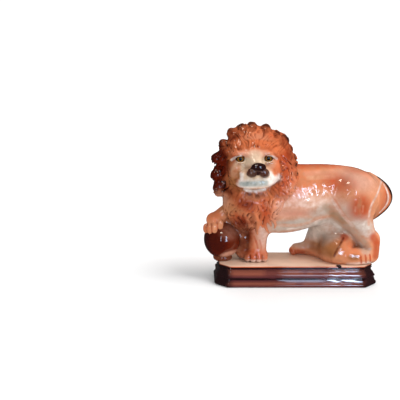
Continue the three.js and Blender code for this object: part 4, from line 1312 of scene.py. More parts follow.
DRIP = (((64, -40.5, 34.5), (69, -42.6, 34), (70, -43.4, 30.5)), (2.0, 3.2, 2.2))
DRIP_FILLET = 1.5
SPINE_TURN = (0.7, 1.0)
SPINE_HEIGHT = (150.0, 180.0)
SPINE_COVER = 0.75
SPINE_FADING = 0.45
SPINE_FADING_PLACES = (40.0, 80.0)
RIM_TURN = (0.15, 0.6)
RIM_SHARE = (0.95, 1.04)
RIM_HEIGHT = (150.0, 165.0)
RIM_COVER = 0.5
HOLLOW_SHADE = 0.8
GROOVE_SHADE = 0.95
BODY_MARKS = (
    Stroke(ORANGE, ((-20, 192), (22, 193), (54, 194), (87, 190), (116, 179)), 5, 0.5),
    Patch(PINK, (92, 174), (34, 16), -16, 0.9, 0.8),
    Patch(ORANGE, (6, 172), (30, 24), 0, 0.5, 0.8),
    Stroke(PINK, ((12, 182), (40, 183), (66, 182)), 4, 0.45),
    Stroke(CREAM, ((16, 176), (44, 177), (58, 177)), 3, 0.25),
    Patch(ORANGE, (-6, 150), (16, 44), 0, 0.7, 0.8),
    Patch(RUST, (62, 168), (24, 13), -8, 0.75, 0.7),
    Patch(ORANGE, (70, 150), (20, 12), -30, 0.35, 0.8),
    Patch(WHITE, (8, 134), (56, 15), 3, 0.5, 0.95),
    Patch(PINK, (-4, 121), (44, 8), 0, 0.9, 0.6),
    Patch(RUST, (-2, 120), (26, 4), 0, 0.2, 0.8),
    Patch(ASH, (-10, 98), (60, 12), 8, 0.95, 0.6, (-FAR, FAR)),
    # Grey in the groin: partly the pale clay's colour, partly painted shade.
    Patch(ASH, (40, 122), (22, 13), 24, 0.75, 0.7),
    # Pink and white lines along the lower edge of the belly: painted highlights on its ridge.
    Stroke(PINK, ((-30, 99), (0, 98), (18, 102), (34, 109), (42, 111)), 3, 0.5),
    Stroke(WHITE, ((-14, 91), (4, 92), (18, 96), (33, 104), (42, 107), (52, 102), (60, 94)),
           1.5, 0.7),
    Patch(ASH, (44, 86), (40, 30), 0, 1, 0.5, (-18, FAR)),
    Patch(WHITE, (36, 84), (36, 22), 0, 0.4, 0.7, (-18, FAR)),
    Patch(OLIVE, (36, 84), (18, 8), 0, 0.3, 0.8, (-18, FAR)),
    Patch(PINK, (62, 86), (16, 9), -30, 0.4, 0.8, (-18, 12)),
    Patch(PINK, (80, 122), (18, 26), 40, 0.8, 0.8),
    Patch(ASH, (78, 120), (15, 18), 40, 0.5, 0.8),
    Patch(PINK, (120, 90), (9, 12), 0, 0.8, 0.8),
    Patch(ASH, (104, 101), (22, 16), -50, 0.75, 0.6),
    Patch(WHITE, (104, 96), (18, 12), -50, 0.35, 0.8),
    # Olive down the recess between the near thigh and the wall: painted shade.
    Stroke(OLIVE, ((46, 130), (54, 122), (66, 111)), 6, 0.4),
    Stroke(OLIVE, ((60, 116), (82, 98), (97, 82), (112, 61)), 7, 0.6),
    Stroke(ASH, ((84, 96), (100, 78), (113, 58)), 8, 0.6),
    Stroke(ORANGE, ((58, 142), (70, 122), (82, 107)), 2.6, 0.5),
    # Pale lines along the near thigh's front edge and along the wall's edge: painted highlights.
    Stroke(WHITE, ((52, 146), (60, 134), (74, 115), (90, 98)), 2.4, 0.35),
    Stroke(WHITE, ((62, 101), (74, 91), (86, 81), (99, 71), (110, 62)), 2.4, 0.25,
           (-30, FAR)),
    Patch(RUST, (98, 131), (17, 19), 0, 0.9, 0.6),
    Stroke(OCHRE, ((97, 142), (95, 130), (97, 120)), 3, 0.5),
    Stroke(PINK, ((102, 134), (102, 124)), 1.4, 0.45),
    Stroke(PINK, ((90, 132), (90, 125)), 1.4, 0.45),
    Patch(RUST, (104, 114), (13, 5), 0, 0.5, 0.9),
    # Ochre on the slope between the hind feet: partly its colour, partly painted shade.
    Patch(OCHRE, (48, 54), (26, 10), 0, 0.9, 0.6, (-34, 40)),
    Patch(ORANGE, (86, 60), (24, 14), -20, 0.5, 0.7),
    # More of that ochre: partly its colour, partly painted shade.
    Patch(OCHRE, (54, 60), (18, 16), 0, 0.8, 0.7, (-36, 40)),
    Patch(RUST, (80, 77), (7, 5), 0, 0.9),
    Stroke(UMBER, ((78, 76), (71, 67), (65, 58), (61, 49)), 1.5, 0.7),
    Patch(ORANGE, (86, 66), (8, 8), 0, 0.6, 0.8),
    Patch(OCHRE, (92, 48), (9, 5), 0, 0.9),
    Stroke(RUST, ((124, 80), (130, 72), (132, 62), (130, 48)), 6, 0.8),
    Stroke(WHITE, ((84, 36), (100, 37), (120, 38)), 3, 0.6),
    Patch(ORANGE, (147, 140), (16, 38), -10, 0.5, 0.6, (-20, FAR)),
    Patch(RUST, (148, 132), (8, 24), -8, 0.4, 0.7, (-20, FAR)),
    Stroke(PINK, ((143, 170), (133, 159), (125, 148), (116, 133), (114, 116), (115, 101)),
           2.2, 0.8),
    Stroke(WHITE, ((143, 170), (133, 159), (125, 148), (116, 133), (114, 116)), 1.8, 0.3),
    # White line down the middle of the tail: a painted highlight.
    Stroke(WHITE, ((144, 163), (150, 152), (153, 139), (149, 126), (139, 115)), 1.2, 0.6,
           (-16, 6)),
    Stroke(AUBERGINE, ((137, 175), (148, 165), (156, 153), (161, 140), (159, 128),
                       (152, 118), (142, 109), (131, 100)), 3, 1, (-FAR, FAR)),
    Patch(RUST, (8, 40), (22, 5), 0, 0.8, depth=(10, FAR)),
    Patch(ASH, (16, 53), (22, 6), 0, 0.6, depth=(10, FAR)),
    Patch(ORANGE, (-62, 70), (18, 46), 0, 0.6, 0.7),
    # Pink and white down the foreleg's right side: painted light on its lit side.
    Patch(PINK, (-56, 84), (12, 30), 0, 1, 0.8),
    Patch(WHITE, (-52, 84), (7, 26), 0, 0.3, 0.9),
    Patch(UMBER, (-99, 36), (26, 7), 0, 0.9, depth=(-FAR, FAR)),
    Patch(RUST, (-66, 46), (22, 9), 0, 0.75, 0.7),
    Patch(WHITE, (-64, 36), (22, 4), 0, 0.6),
    Stroke(UMBER, ((-74, 47), (-74.5, 36)), 1.2, 0.75),
    Stroke(UMBER, ((-64.5, 48), (-64.5, 36)), 1.2, 0.75),
    Stroke(UMBER, ((-55, 47), (-54.5, 36)), 1.2, 0.75),
    Stroke(RUST, ((103, 50), (105, 38)), 1.5, 0.9),
    Stroke(RUST, ((111, 51), (113, 39)), 1.5, 0.9),
    Stroke(RUST, ((119, 51), (120.5, 40)), 1.5, 0.9),
    Stroke(RUST, ((-145, 97), (-144.5, 82)), 1.1, 0.75),
    Stroke(RUST, ((-138, 100), (-137.5, 83)), 1.1, 0.75),
    Stroke(RUST, ((-129, 105), (-128, 87)), 1.1, 0.75),
    # Rust down the foreleg's left side: painted shade.
    Patch(RUST, (-75, 90), (6, 28), 0, 0.6, 0.8),
    Stroke(RUST, ((-68, 78), (-63, 64), (-61, 50)), 1.6, 0.6),
    Stroke(RUST, ((-59, 72), (-56, 60), (-57, 49)), 1.3, 0.5),
    Patch(AUBERGINE, (68, 34), (9, 9), 0, 1, 0.3, (-FAR, -41.5)),
    # Umber and rust on the web between the ball and the foreleg: its brown, darkened as painted
    # shade.
    Patch(UMBER, (-86, 82), (13, 40), 0, 0.85, depth=(-34, FAR)),
    Patch(RUST, (-92, 100), (10, 20), 0, 0.6, 0.9, (-34, FAR)),
    Patch(OCHRE, (-114, 122), (18, 9), -20, 0.7, 0.8),
    Patch(ORANGE, (-136, 114), (16, 11), 30, 0.75, 0.7),
    Patch(ORANGE, (-147, 90), (6, 10), 0, 0.6),
    Patch(UMBER, (-124, 37), (26, 6), 0, 0.85, depth=(-FAR, FAR)),
    Patch(RUST, (90, 150), (26, 20), 0, 0.5, depth=BEHIND),
    Patch(RUST, (6, 168), (26, 10), 0, 0.4, depth=BEHIND),
    Patch(PINK, (0, 128), (44, 16), 0, 0.7, depth=BEHIND),
    Patch(ASH, (92, 96), (34, 22), 0, 0.7, depth=BEHIND),
)
BALL_MARKS = (
    # Pink and rust on the right: painted reflections of the web behind, and of the plinth low
    # down.
    Patch(PINK, (-106, 86), (14, 10), 0, 0.2, 0.8),
    Patch(PINK, (-109, 47), (14, 6), 16, 0.75),
    Patch(RUST, (-100, 62), (8, 20), 0, 0.1, 0.8),
    # Nearly black on the left: painted shade.
    Patch(AUBERGINE, (-128, 68), (14, 16), 0, 0.5),
)
HAIR_MARKS = (
    Patch(ORANGE, (-70, 200), (80, 66), 0, 0.95, 0.1, (-FAR, FAR)),
    Patch(ORANGE, (-52, 124), (22, 34), 0, 0.8, 0.7),
    Patch(PINK, (-28, 128), (14, 30), -20, 0.75, 0.8),
    Patch(RUST, (-22, 194), (17, 42), 0, 0.95, 0.8),
    Patch(RUST, (-101, 224), (14, 20), 30, 0.7, 0.8),
    Patch(UMBER, (-12, 214), (7, 20), 10, 0.5, 0.8),
    Patch(RUST, (-42, 236), (20, 12), -30, 0.45, 0.8),
    Patch(PINK, (-68, 240), (20, 8), 0, 0.4, 0.8),
    Patch(PINK, (-10, 168), (8, 34), 0, 0.4, 0.8),
    # Umber over the left of the mane: its dark paint, deepened as painted shade on that side.
    Patch(UMBER, (-125, 190), (27, 52), 0, 1, 0.35),
    Patch(UMBER, (-108, 238), (18, 14), 40, 0.75, 0.7),
    Patch(UMBER, (-112, 160), (13, 18), 20, 1, 0.5),
    Patch(PINK, (-121, 140), (10, 12), 20, 0.7, 0.8),
    Patch(OCHRE, (-100, 126), (16, 24), -20, 0.6, 0.8),
    Patch(RUST, (-84, 136), (20, 12), -14, 0.8, 0.7),
    Patch(UMBER, (-82, 136), (12, 8), -14, 0.6, 0.8),
    # Ochre on the neck under the chin: its brown, partly painted shadow of the chin.
    Patch(OCHRE, (-64, 150), (20, 8), 0, 0.5, 0.8),
    # Rust and umber at the lower left of the chest hair, above the ball: painted shade.
    Patch(RUST, (-93, 108), (15, 14), -30, 0.8, 0.7),
    Patch(UMBER, (-90, 101), (13, 12), -20, 0.85, 0.7),
    Patch(UMBER, (-72, 112), (4, 14), 10, 0.5),
    # Umber at the top of the foreleg's left side: painted shade.
    Patch(UMBER, (-80, 89), (14, 8), 0, 0.9, 0.7),
    Patch(RUST, (-54, 124), (8, 24), 6, 0.75, 0.7),
)
FACE_MARKS = (
    Patch(ORANGE, (-70, 226), (46, 14), 0, 1, edge=0.3),
    Patch(CREAM, (-70, 187), (38, 31), 0, 1, 0.14),
    Patch(PINK, (-73, 217), (30, 6), 0, 0.8),
    Patch(ORANGE, (-101, 222), (14, 7), 24, 0.7),
    Patch(ORANGE, (-36, 222), (14, 8), -24, 0.9),
    Patch(CREAM, (-70, 205), (12, 16), 0, 0.9),
    Patch(ORANGE, (-35, 189), (11, 17), 0, 0.95, 0.6),
    Patch(PINK, (-47, 198), (8, 5), 0, 0.5),
    # Ochre on the left cheek: its paint, partly painted shade on that side of the face.
    Patch(OCHRE, (-102, 182), (9, 22), 6, 0.65, 0.7),
    Patch(OCHRE, (-104, 170), (12, 12), 20, 0.9, 0.7),
    # Dark ochre between the muzzle and the left cheek: painted shade.
    Patch(OCHRE, (-94, 179), (4, 15), 10, 0.9),
    Patch(OCHRE, (-109, 205), (4, 8), 10, 0.7, 0.8),
    # Ochre under the lip: the chin's brown, partly painted shadow of the lip.
    Patch(OCHRE, (-76, 158), (26, 6), 0, 0.7, 0.7),
    # Olive in the groove between the left eye and the nose: painted shade.
    Patch(OLIVE, (-83, 192), (4, 8), -24, 0.5),
    Stroke(WHITE, ((-107, 206), (-102, 210), (-93, 213)), 1.8, 0.5),
    Stroke(WHITE, ((-50, 213), (-42, 212), (-36, 208)), 1.8, 0.5),
    Patch(OCHRE, (-96, 199), (4, 4), 0, 0.35, 0.8),
    Stroke(WHITE, ((-92, 186), (-91, 177), (-86, 171)), 2.8, 0.85),
    Stroke(WHITE, ((-48, 188), (-44, 180), (-46, 172)), 2.8, 0.85),
    Stroke(WHITE, ((-85, 159), (-70, 156), (-54, 159)), 2.4, 0.9),
    Patch(PINK, (-68, 149), (20, 7), 0, 0.5),
)


class ClayPiece(ABC):
    """A piece of pottery modelled in clay."""

    name: ClassVar[str]

    @abstractmethod
    def model(self) -> Clay:
        """Models the piece in clay."""

    @abstractmethod
    def paint(self, clay: Clay, points: Array) -> dict[str, Array]:
        """Where each colour lies on the piece.

        Args:
            clay: The modelled clay.
            points: Its surface points, in millimetres.

        Returns:
            One mask for each colour, and the hollows.
        """

    def build(self, material: Material) -> Object:
        """Builds the piece."""
        clay = self.model()
        points, faces = clay.skin()
        piece = make_piece(self.name, points, faces, material, self.paint(clay, points))
        put_in_frame(piece, CAD_NODE, slot="glazed_earthenware")
        return piece


@dataclass
class LionBody(ClayPiece):
    """Torso, tail, legs and paws, in one piece.

    Attributes:
        step: Spacing of the clay's grid, in millimetres.
        margin: Room left round the figure.
        top: Height of the clay, in shares of the figure.
    """

    name: ClassVar[str] = "lion_body"
    step: float = 1.5
    margin: float = 6.0
    top: float = 0.8

    def model(self) -> Clay:
        """Models the body in clay."""
        low, high = cad_box()
        low[2] = LAYOUT.floor - LAYOUT.foot_sink - self.margin
        high[2] = LAYOUT.point((0, 0, self.top))[2]
        clay = Clay(low - (self.margin, self.margin, 0), high + self.margin, self.step)
        self.form(clay)
        clay.limb(np.array(DRIP[0], float), DRIP[1], DRIP_FILLET)
        clay.cut_below(LAYOUT.floor - LAYOUT.foot_sink)
        clay.soften()
        return clay

    def form(self, clay: Clay) -> None:
        """Adds the main forms, which the solid has too, and the toes."""
        clay.add_limbs([TRUNK])
        clay.add_masses(BODY_MASSES)
        clay.add_limbs([TAIL, *HIND_LEGS, *FORELEGS])
        clay.add_masses(LEG_MASSES)
        radii = [LAYOUT.thick(station[3]) for station in RAISED_UPPER]
        points = [*(LAYOUT.point(station) for station in RAISED_UPPER),
                  LAYOUT.by_ball(RAISED_WRIST)]
        clay.limb(np.array(points), [*radii, radii[-1]], ARM_FILLET)
        for centre, half in (BALL_CORE, RAISED_WEB, RAISED_PAW, BALL_PAD):
            clay.mass(LAYOUT.by_ball(centre), np.array(half) * LAYOUT.ball_radius, PAW_FILLET)
        for centre in PAW_ON_BALL_TOES:
            half = np.array(RAISED_TOE_HALF) * LAYOUT.ball_radius
            clay.mass(LAYOUT.by_ball(centre), half, TOE_FILLET)
        for centre in TOES:
            clay.mass(LAYOUT.point(centre), LAYOUT.half(TOE_HALF), TOE_FILLET)

    def paint(self, clay: Clay, points: Array) -> dict[str, Array]:
        """Where each colour lies on the body."""
        x, _, z = points.T
        coat = Coat(points)
        coat.brush(BODY_MARKS)
        spine = ramp(clay.facing(points)[:, 2], *SPINE_TURN) * ramp(z, *SPINE_HEIGHT)
        fading = SPINE_FADING * ramp(x, *SPINE_FADING_PLACES)
        coat.lay(RUST, spine * (SPINE_COVER - fading))
        return {**coat.masks, "hollow": clay.hollow(points, 3)}


@dataclass
class LionHead(ClayPiece):
    """Mane, face and chest hair, in one piece.

    Attributes:
        step: Spacing of the clay's grid, in millimetres.
        base_step: Spacing of the rough clay that the hair is laid on.
        margin: Room left round the head.
        low: Lowest height of the head's clay, in shares of the figure.
        back: Its end towards the tail.
        hair: The hair.
    """

    name: ClassVar[str] = "lion_head"
    step: float = 1.1
    base_step: float = 2.0
    margin: float = 5.0
    low: float = 0.16
    back: float = 0.04
    hair: Hair = field(default_factory=Hair)

    def space(self) -> Pair:
        """Lowest and highest corner of the head and the chest, in millimetres."""
        low, high = cad_box()
        low[2] = LAYOUT.point((0, 0, self.low))[2]
        high[0] = LAYOUT.point((self.back, 0, 0))[0]
        return low - self.margin, high + self.margin

    def rough(self) -> Clay:
        """The forms that the hair lies on, torso and foreleg with them."""
        clay = Clay(*self.space(), self.base_step)
        clay.add_limbs([TRUNK, FORELEGS[0]])
        clay.add_masses(HEAD_MASSES)
        return clay

    def model(self) -> Clay:
        """Models the head in clay."""
        clay = Clay(*self.space(), self.step)
        rough = self.rough()
        clay.add_masses(HEAD_MASSES)
        self.hair.lay(clay, rough, MANE_LOCKS, -1)
        self.hair.lay(clay, rough, BACK_LOCKS, 1)
        for x, z, radius in KNOBS:
            clay.mass(np.array([x, KNOB_DEPTH, z]), np.full(3, radius), KNOB_FILLET)
        self.face(clay)
        clay.soften()
        clay.build_up(lambda points: self.hair.relief(points)[0], RELIEF_REACH)
        self.hair.tufts(clay, rough)
        return clay

    def face(self, clay: Clay) -> None:
        """Models the mask, brows, muzzle, lips, nose and eye sockets."""
        clay.add_masses([MASK, FOREHEAD])
        middle = 2 * MANE_CENTRE[0]
        mirrored = tuple((middle - x, y, z, width) for x, y, z, width in BROW.stations)
        clay.add_limbs([BROW, Limb("other brow", mirrored, BROW.fillet), NOSE_BRIDGE])
        clay.add_masses(FACE_MASSES)
        for eye in EYES:
            eye.socket(clay)
        clay.add_masses([NECK_HOLLOW], cut=True)
        clay.add_masses([CHIN])
        clay.add_limbs([LIP_ROLL])
        clay.add_masses(NOSE_MASSES)

    def paint(self, clay: Clay, points: Array) -> dict[str, Array]:
        """Where each colour lies on the head."""
        coat = Coat(points)
        coat.brush(HAIR_MARKS)
        coat.brush(FACE_MARKS)
        share = self.hair.spread(points)[1]
        turned = 1 - ramp(-clay.facing(points)[:, 1], *RIM_TURN)
        rim = turned * ramp(share, *RIM_SHARE) * ramp(points[:, 2], *RIM_HEIGHT)
        coat.lay(AUBERGINE, np.maximum(RIM_COVER * rim, self.paint_knobs(coat, points)))
        self.paint_nose(coat, points)
        self.paint_lip(coat, points)
        for eye in EYES:
            coat.lay(UMBER, eye.liner(points))
        groove = self.hair.relief(points)[1]
        hollow = np.maximum(HOLLOW_SHADE * clay.hollow(points, 3), GROOVE_SHADE * groove)
        return {**coat.masks, "hollow": hollow}

    def paint_knobs(self, coat: Coat, points: Array) -> Array:
        """Browns the knobs all round, and says where their outer sides are nearly black."""
        x, _, z = points.T
        middle = self.hair.centre[[0, 2]]
        outer = np.zeros(len(x))
        for bx, bz, radius in KNOBS:
            out = np.array((bx, bz)) - middle
            out /= np.linalg.norm(out)
            away = np.hypot(x - bx, z - bz) / radius
            side = ((x - bx) * out[0] + (z - bz) * out[1]) / radius
            near = 1 - ramp(away, *KNOB_PAINT_EDGE)
            left, right = KNOB_DARK
            strength = left + (right - left) * ramp(bx, *KNOB_DARK_PLACES)
            outer = np.maximum(outer, near * ramp(side, *KNOB_OUTER_SIDE) * strength)
            coat.lay(UMBER, KNOB_BROWN * near)
        return outer

    def paint_nose(self, coat: Coat, points: Array) -> None:
        """Paints the nose nearly black, thinner on its wings."""
        for mass, cover in zip(NOSE_MASSES, NOSE_PAINT):
            offset = (points - LAYOUT.point(mass.centre)) / LAYOUT.half(mass.half)
            near = 1 - ramp(np.linalg.norm(offset, axis=1), *NOSE_EDGE)
            coat.wipe(WHITE, near)
            coat.lay(UMBER, NOSE_UNDERCOAT * near)
            coat.lay(AUBERGINE, cover * near)

    def paint_lip(self, coat: Coat, points: Array) -> None:
        """Paints the roll of the lip white, with a slate streak along it."""
        x, y, z = points.T
        path = tuple(tuple(LAYOUT.point(station)[[0, 2]]) for station in LIP_ROLL.stations)
        roll = Stroke(WHITE, path[1:], LIP_WHITE_WIDTH).shape(x, z) * (y < FACE_FRONT)
        coat.wipe(OCHRE, roll)
        coat.lay(WHITE, roll)
        streak = Stroke(SLATE, path[1:-2], LIP_STREAK_WIDTH).shape(x, z) * (y < FACE_FRONT)
        coat.lay(SLATE, streak)
        coat.wipe(WHITE, LIP_STREAK_COVER * streak)


@dataclass
class GlassEye:
    """A glass eye: an amber iris with a dark pupil under a clear dome.

    Attributes:
        node: Name of the CAD node that it stands for.
        iris: Where the iris starts to fade and ends, against the eye's radius.
        pupil: The same for the pupil.
        rim: Where the iris starts to darken towards its rim, and is darkest.
        rings: Number of rings from the front to the back.
        sides: Number of points in a ring.
        play: How far the glass stays inside its socket's ball, in millimetres.
        bulge: How far the dome stands out at the front, against the radius.
        dome: Half width of the dome, as an angle in radians.
        gap: Room left round the glass in the clay, in millimetres.
    """

    node: str
    iris: Range = (0.83, 0.91)
    pupil: Range = (0.45, 0.55)
    rim: Range = (0.64, 0.86)
    rings: int = 28
    sides: int = 40
    play: float = 0.05
    bulge: float = 0.05
    dome: float = 0.55
    gap: float = 0.3

    @property
    def centre(self) -> Array:
        """Middle of the eye, in millimetres, from the CAD node's box."""
        return sum(cad_box(self.node)) / 2

    def socket(self, clay: Clay) -> None:
        """Hollows the clay for the eye and lays its lids round it."""
        front = self.centre + (0, EYE_HOLLOW_FRONT * LAYOUT.depth, 0)
        clay.mass(front, LAYOUT.half(EYE_HOLLOW_HALF), EYE_HOLLOW_FILLET, cut=True)
        for lid in (UPPER_LID, LOWER_LID):
            points = self.centre + np.array(lid, float) * LAYOUT.eye_radius
            widths = LID_THICKNESS * LAYOUT.eye_radius * np.array(LID_PROFILE)
            clay.limb(points, widths, LID_FILLET)
        ball = np.full(3, LAYOUT.eye_radius + self.gap)
        clay.mass(self.centre, ball, SOCKET_FILLET, cut=True)

    def liner(self, points: Array) -> Array:
        """The painted line on the upper lid."""
        lid = self.centre + smooth(np.array(UPPER_LID, float), 4) * LAYOUT.eye_radius
        away = np.linalg.norm(points[:, None, :] - lid[None], axis=2).min(1)
        return 1 - ramp(away, *LINER_EDGE)

    def build(self, material: Material) -> Object:
        """Builds the eye, turned to look straight out of the face."""
        radius = LAYOUT.eye_radius - self.play
        tilt = np.linspace(0, math.pi, self.rings)[1:-1, None]
        turn = np.linspace(0, 2 * math.pi, self.sides, endpoint=False)
        out = radius * (1 + self.bulge * np.exp(-(tilt / self.dome) ** 2)) * np.sin(tilt)
        deep = np.tile(-radius * np.cos(tilt), self.sides)
        rings = np.stack([out * np.cos(turn), deep, out * np.sin(turn)], -1)
        poles = [[0, -radius, 0], [0, radius, 0]]
        points = np.concatenate([rings.reshape(-1, 3), poles]) + self.centre
        front, back = len(points) - 2, len(points) - 1
        last = (len(tilt) - 1) * self.sides
        faces = []
        for start in range(0, last, self.sides):
            for n in range(self.sides):
                a, b = start + n, start + (n + 1) % self.sides
                faces += [(a, b, b + self.sides), (a, b + self.sides, a + self.sides)]
        for n in range(self.sides):
            after = (n + 1) % self.sides
            faces += [(front, after, n), (back, last + n, last + after)]
        offset = points - self.centre
        across = np.hypot(offset[:, 0], offset[:, 2]) / radius
        across = np.where(offset[:, 1] > 0, 1.0, across)
        masks = {
            "iris": 1 - ramp(across, *self.iris),
            "pupil": 1 - ramp(across, *self.pupil),
            "limb": ramp(across, *self.rim),
            "ray": np.arctan2(offset[:, 2], offset[:, 0]),
        }
        piece = make_piece(f"eye_{self.node.split('_')[-1]}", points, np.array(faces), material,
                           masks)
        put_in_frame(piece, self.node, slot="eye_glass")
        return piece


EYES = (GlassEye("glass_eye_left"), GlassEye("glass_eye_right"))


@dataclass(frozen=True)
class EyeGlass:
    """Clear glass over painted colours: a hard, wet shine over a deep amber iris.

    Attributes:
        name: Name of the material.
        amber: Colour of the iris as sRGB hex.
        brown: Colour of its rim.
        black: Colour of the pupil.
        roughness: Roughness of the polish.
        ior: Refractive index of soda glass.
    """

    name: str = "painted_eye_glass"
    amber: str = "96641a"
    brown: str = "3a1c08"
    black: str = "0b0706"
    roughness: float = 0.04
    ior: float = 1.5

    def build(self) -> Material:
        """Makes the material."""
        material, tree = new_material(self.name)
        masks = {}
        for key in ("iris", "pupil", "limb", "ray"):
            masks[key] = add(tree, "Attribute", {"attribute_name": key}).outputs["Fac"]
        rays = add(tree, "Math", TIMES, i0=masks["ray"], i1=9.0)
        wave = add(tree, "Math", {"operation": "SINE"}, i0=rays)
        streak = add(tree, "MapRange", Value=wave, From_Min=-1.0, From_Max=1.0,
                     To_Min=0.0, To_Max=0.35)
        rim = add(tree, "Math", {"operation": "MAXIMUM"}, i0=streak, i1=masks["limb"])
        iris = add(tree, "Mix", COLOURS, i0=rim, i6=linear(self.amber), i7=linear(self.brown))
        eye = add(tree, "Mix", COLOURS, i0=masks["iris"], i6=linear(self.brown),
                  i7=iris.outputs[2])
        dark = add(tree, "Mix", COLOURS, i0=masks["pupil"], i6=eye.outputs[2],
                   i7=linear(self.black))
        coat_with(tree, dark.outputs[2], self.roughness, self.ior)
        return material


@dataclass
class Ball:
    """The ball under the raised paw, thrown a little out of round.

    Attributes:
        divisions: How often its faces are divided.
        unevenness: How far it leaves the round, in millimetres.
        brown: How strongly the brown covers it.
        left_dark: How strongly nearly black covers its left side: painted shade.
        left: Where that is full and where it ends, against the radius.
        back_dark: How strongly nearly black covers its back.
        back: Where that starts and where it is full.
        bared: How far the pink marks, painted reflections, bare it of the brown, and of the
            black.
    """

    divisions: int = 6
    unevenness: float = 0.25
    brown: float = 0.95
    left_dark: float = 0.85
    left: Range = (-1.0, 0.2)
    back_dark: float = 0.9
    back: Range = (0.0, 0.8)
    bared: Range = (0.8, 0.9)

    def swell(self, points: Array) -> Array:
        """How far the clay stands out at points on a ball of radius 1, in millimetres."""
        x, y, z = points.T
        wave = np.sin(3.1 * x + 1.3) * np.cos(2.7 * z) + 0.6 * np.sin(4.3 * y + 2.2 * z)
        return self.unevenness * (wave - 1)

    def build(self, material: Material) -> Object:
        """Builds the ball as a piece."""
        shape = bmesh.new()
        bmesh.ops.create_icosphere(shape, subdivisions=self.divisions, radius=1.0)
        points = np.array([vertex.co for vertex in shape.verts])
        faces = np.array([[vertex.index for vertex in face.verts] for face in shape.faces])
        shape.free()
        away = LAYOUT.ball_radius + self.swell(points)
        placed = LAYOUT.ball_centre + points * away[:, None]
        x, y, _ = points.T
        coat = Coat(placed)
        coat.lay(UMBER, np.full(len(x), self.brown))
        # Nearly black over the left side: painted shade.
        coat.lay(AUBERGINE, self.left_dark * (1 - ramp(x - 0.2 * y, *self.left)))
        coat.lay(AUBERGINE, self.back_dark * ramp(y, *self.back))
        coat.brush(BALL_MARKS)
        for glaze, bared in zip((UMBER, AUBERGINE), self.bared):
            coat.wipe(glaze, bared * coat.masks[PINK.mask])
        masks = {**coat.masks, "hollow": np.zeros(len(x))}
        piece = make_piece("ball", placed, faces, material, masks)
        put_in_frame(piece, CAD_NODE, slot="glazed_earthenware")
        return piece


